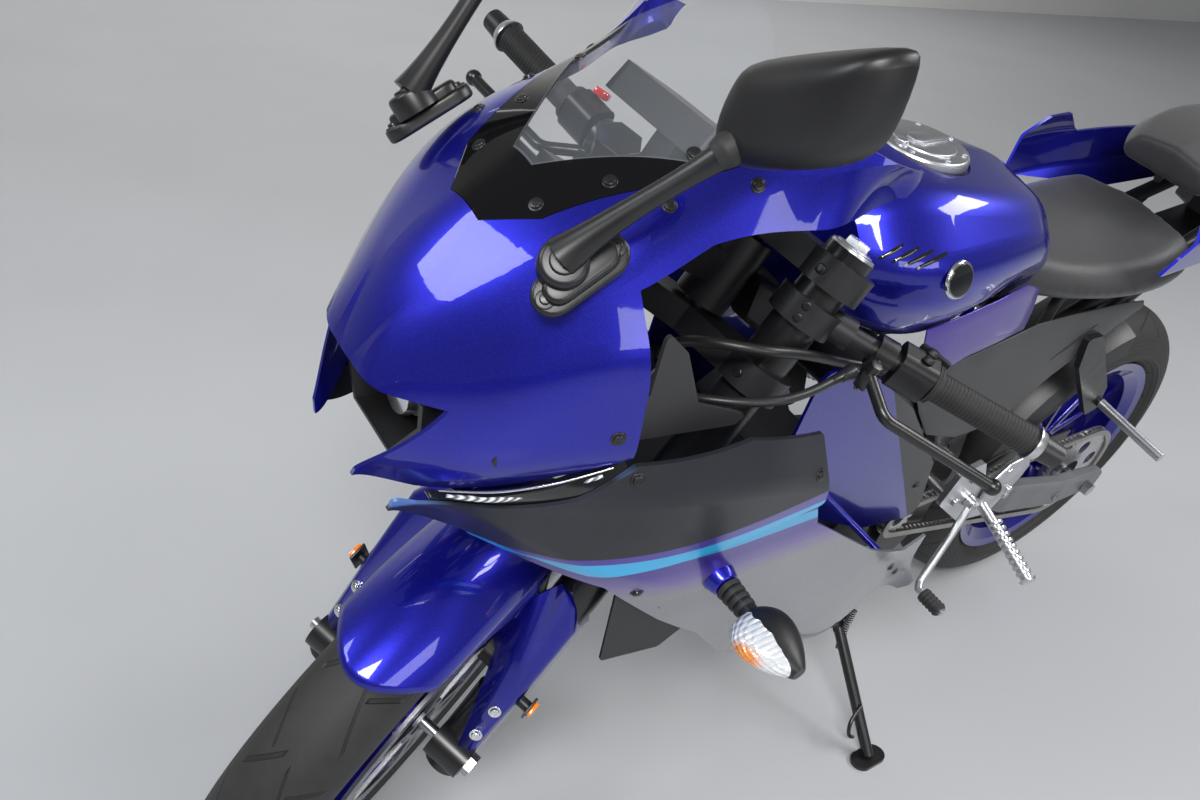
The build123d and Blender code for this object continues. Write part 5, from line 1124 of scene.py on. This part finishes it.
# ------------------------------ tail
# The blue tail cowl is one moulding under the passenger seat, open at its sides, with a red lamp at its end.
# A black arm below it holds the blank plate and the rear indicators.
dress(BLUE, "tail_cowl")
dress(gloss("red_lens", (0.45, 0.006, 0.004), 0.95), "tail_lamp")
dress(BLACK_PLASTIC, "plate_holder", "rear_indicators")


# ------------------------------ cowl fasteners
# Small button-headed steel screws hold the panels to each other and to their stays.
# Each bears on a thin washer and is turned with a hexagon key.
FROM_ABOVE = (("upper_cowl", 1275, 98), ("upper_cowl", 1222, 110), ("upper_cowl", 1150, 125),
              ("upper_cowl", 1070, 145), ("windscreen", 1252, 70), ("windscreen", 1190, 86),
              ("windscreen", 1300, 48))
FROM_BESIDE = (("wing_panels", 1236, 786), ("wing_panels", 1010, 742), ("side_cowls", 905, 612),
               ("side_cowls", 1170, 600), ("side_cowls", 700, 300), ("side_cowls", 640, 400),
               ("side_cowls", 560, 330), ("upper_cowl", 1262, 830), ("side_panels", 880, 760),
               ("side_panels", 620, 520))


def screwed(bm, node, at, toward, washer, head, height):
    """A screw on a washer where a line from a point meets a solid of the frame."""
    found = skin_point(node, at, toward)
    if found:
        spot, out = found
        disc(bm, spot - out * 0.6, out, washer, 1.4, washer - 0.4, 24, soft=0.4)
        socket_bolt(bm, spot + out * 0.6, out, head, height)


bm = bmesh.new()
for side in (1, -1):
    for node, x, y in FROM_ABOVE:
        screwed(bm, node, (x, y * side, 1200), -UPWARD, 6.6, 4.6, 1.9)
    for node, x, z in FROM_BESIDE:
        screwed(bm, node, (x, 330 * side, z), -LEFT * side, 7.4, 5, 2)
fitted("cowl_screws", bm, BLACK_METAL)


# ------------------------------ floor, backdrop, light and camera
# A pale studio: a painted floor and a far wall, four soft lights over the machine and one along the wall.
# The camera stands ahead of the machine, to its left and above it, and looks down on the nose.
def backdrop(name, corners, material):
    """A flat face of the studio, in metres."""
    bm = bmesh.new()
    bm.faces.new([bm.verts.new(corner) for corner in corners])
    mesh = bpy.data.meshes.new(name)
    bm.to_mesh(mesh)
    bm.free()
    made = bpy.data.objects.new(name, mesh)
    bpy.context.collection.objects.link(made)
    mesh.materials.append(material)


def matt(name, colour, rough, lacquer=0.0):
    """Wall or floor paint with faint clouds."""
    made = Shader(name)
    cloud = made.noise(700, 4)
    dull = tuple(c * 0.95 for c in colour)
    made.set(Base_Color=made.mix(cloud.ramp(0.3, 0.7), colour, dull), Roughness=cloud * 0.08 + rough,
             Coat_Weight=lacquer, Coat_Roughness=0.2)
    return made.material


REACH = 14
WALL_AT = -6
WALL_TOP = 7
backdrop("floor", [(-REACH, -REACH, 0), (REACH, -REACH, 0), (REACH, REACH, 0), (-REACH, REACH, 0)],
         matt("floor_paint", (0.46, 0.47, 0.485), 0.45, 0.15))
backdrop("wall", [(REACH, WALL_AT, 0), (-REACH, WALL_AT, 0), (-REACH, WALL_AT, WALL_TOP),
                  (REACH, WALL_AT, WALL_TOP)], matt("wall_paint", (0.8, 0.79, 0.76), 0.8))


def area_light(name, at, target, size, power, colour=(1, 1, 1)):
    """A soft light in metres and watts, turned to a target."""
    light = bpy.data.lights.new(name, "AREA")
    light.shape = "RECTANGLE"
    light.size, light.size_y = size
    light.energy = power
    light.color = colour
    made = bpy.data.objects.new(name, light)
    made.location = at
    made.rotation_euler = (Vector(target) - Vector(at)).to_track_quat("-Z", "Y").to_euler()
    bpy.context.collection.objects.link(made)


area_light("key", (2.6, 2.4, 3.6), (0.2, 0, 0.6), (1.8, 0.9), 170)
area_light("fill", (3.2, -1.0, 2.8), (0.4, 0, 0.6), (1.4, 1.2), 50, (0.93, 0.96, 1))
area_light("back", (-2.6, 1.6, 3.4), (-0.2, 0, 0.6), (2.6, 0.8), 100)
area_light("side", (0.2, 3.6, 1.6), (0.2, 0, 0.5), (2.4, 0.8), 34)
area_light("wall_wash", (-3.0, -4.4, 3.6), (-3.0, -6.0, 0.8), (9.0, 0.8), 100)
world = bpy.data.worlds.new("room")
bpy.context.scene.world = world
world.use_nodes = True
room = world.node_tree.nodes["Background"].inputs
room["Color"].default_value = (0.78, 0.8, 0.84, 1)
room["Strength"].default_value = 0.26

camera = bpy.data.objects.new("camera", bpy.data.cameras.new("camera"))
bpy.context.collection.objects.link(camera)
CAMERA_AT = Vector((1729.1, 621.5, 1355.7))
RIGHT = Vector((-0.810946, 0.532054, 0.243485))
UP = Vector((-0.185620, -0.628562, 0.755285))
BACK = Vector((0.554897, 0.567300, 0.608490))
CAMERA_TURN = Matrix((RIGHT, UP, BACK)).transposed()
IMAGE_WIDTH = 1200
FOCAL_PIXELS = 1020.862
camera.data.sensor_width = 36
camera.data.lens = FOCAL_PIXELS / IMAGE_WIDTH * camera.data.sensor_width
camera.data.clip_start = 0.05
camera.matrix_world = Matrix.Translation(standing() @ CAMERA_AT) @ (LEANED.to_3x3() @ CAMERA_TURN).to_4x4()
bpy.context.scene.camera = camera
bpy.context.scene.view_settings.view_transform = "Standard"
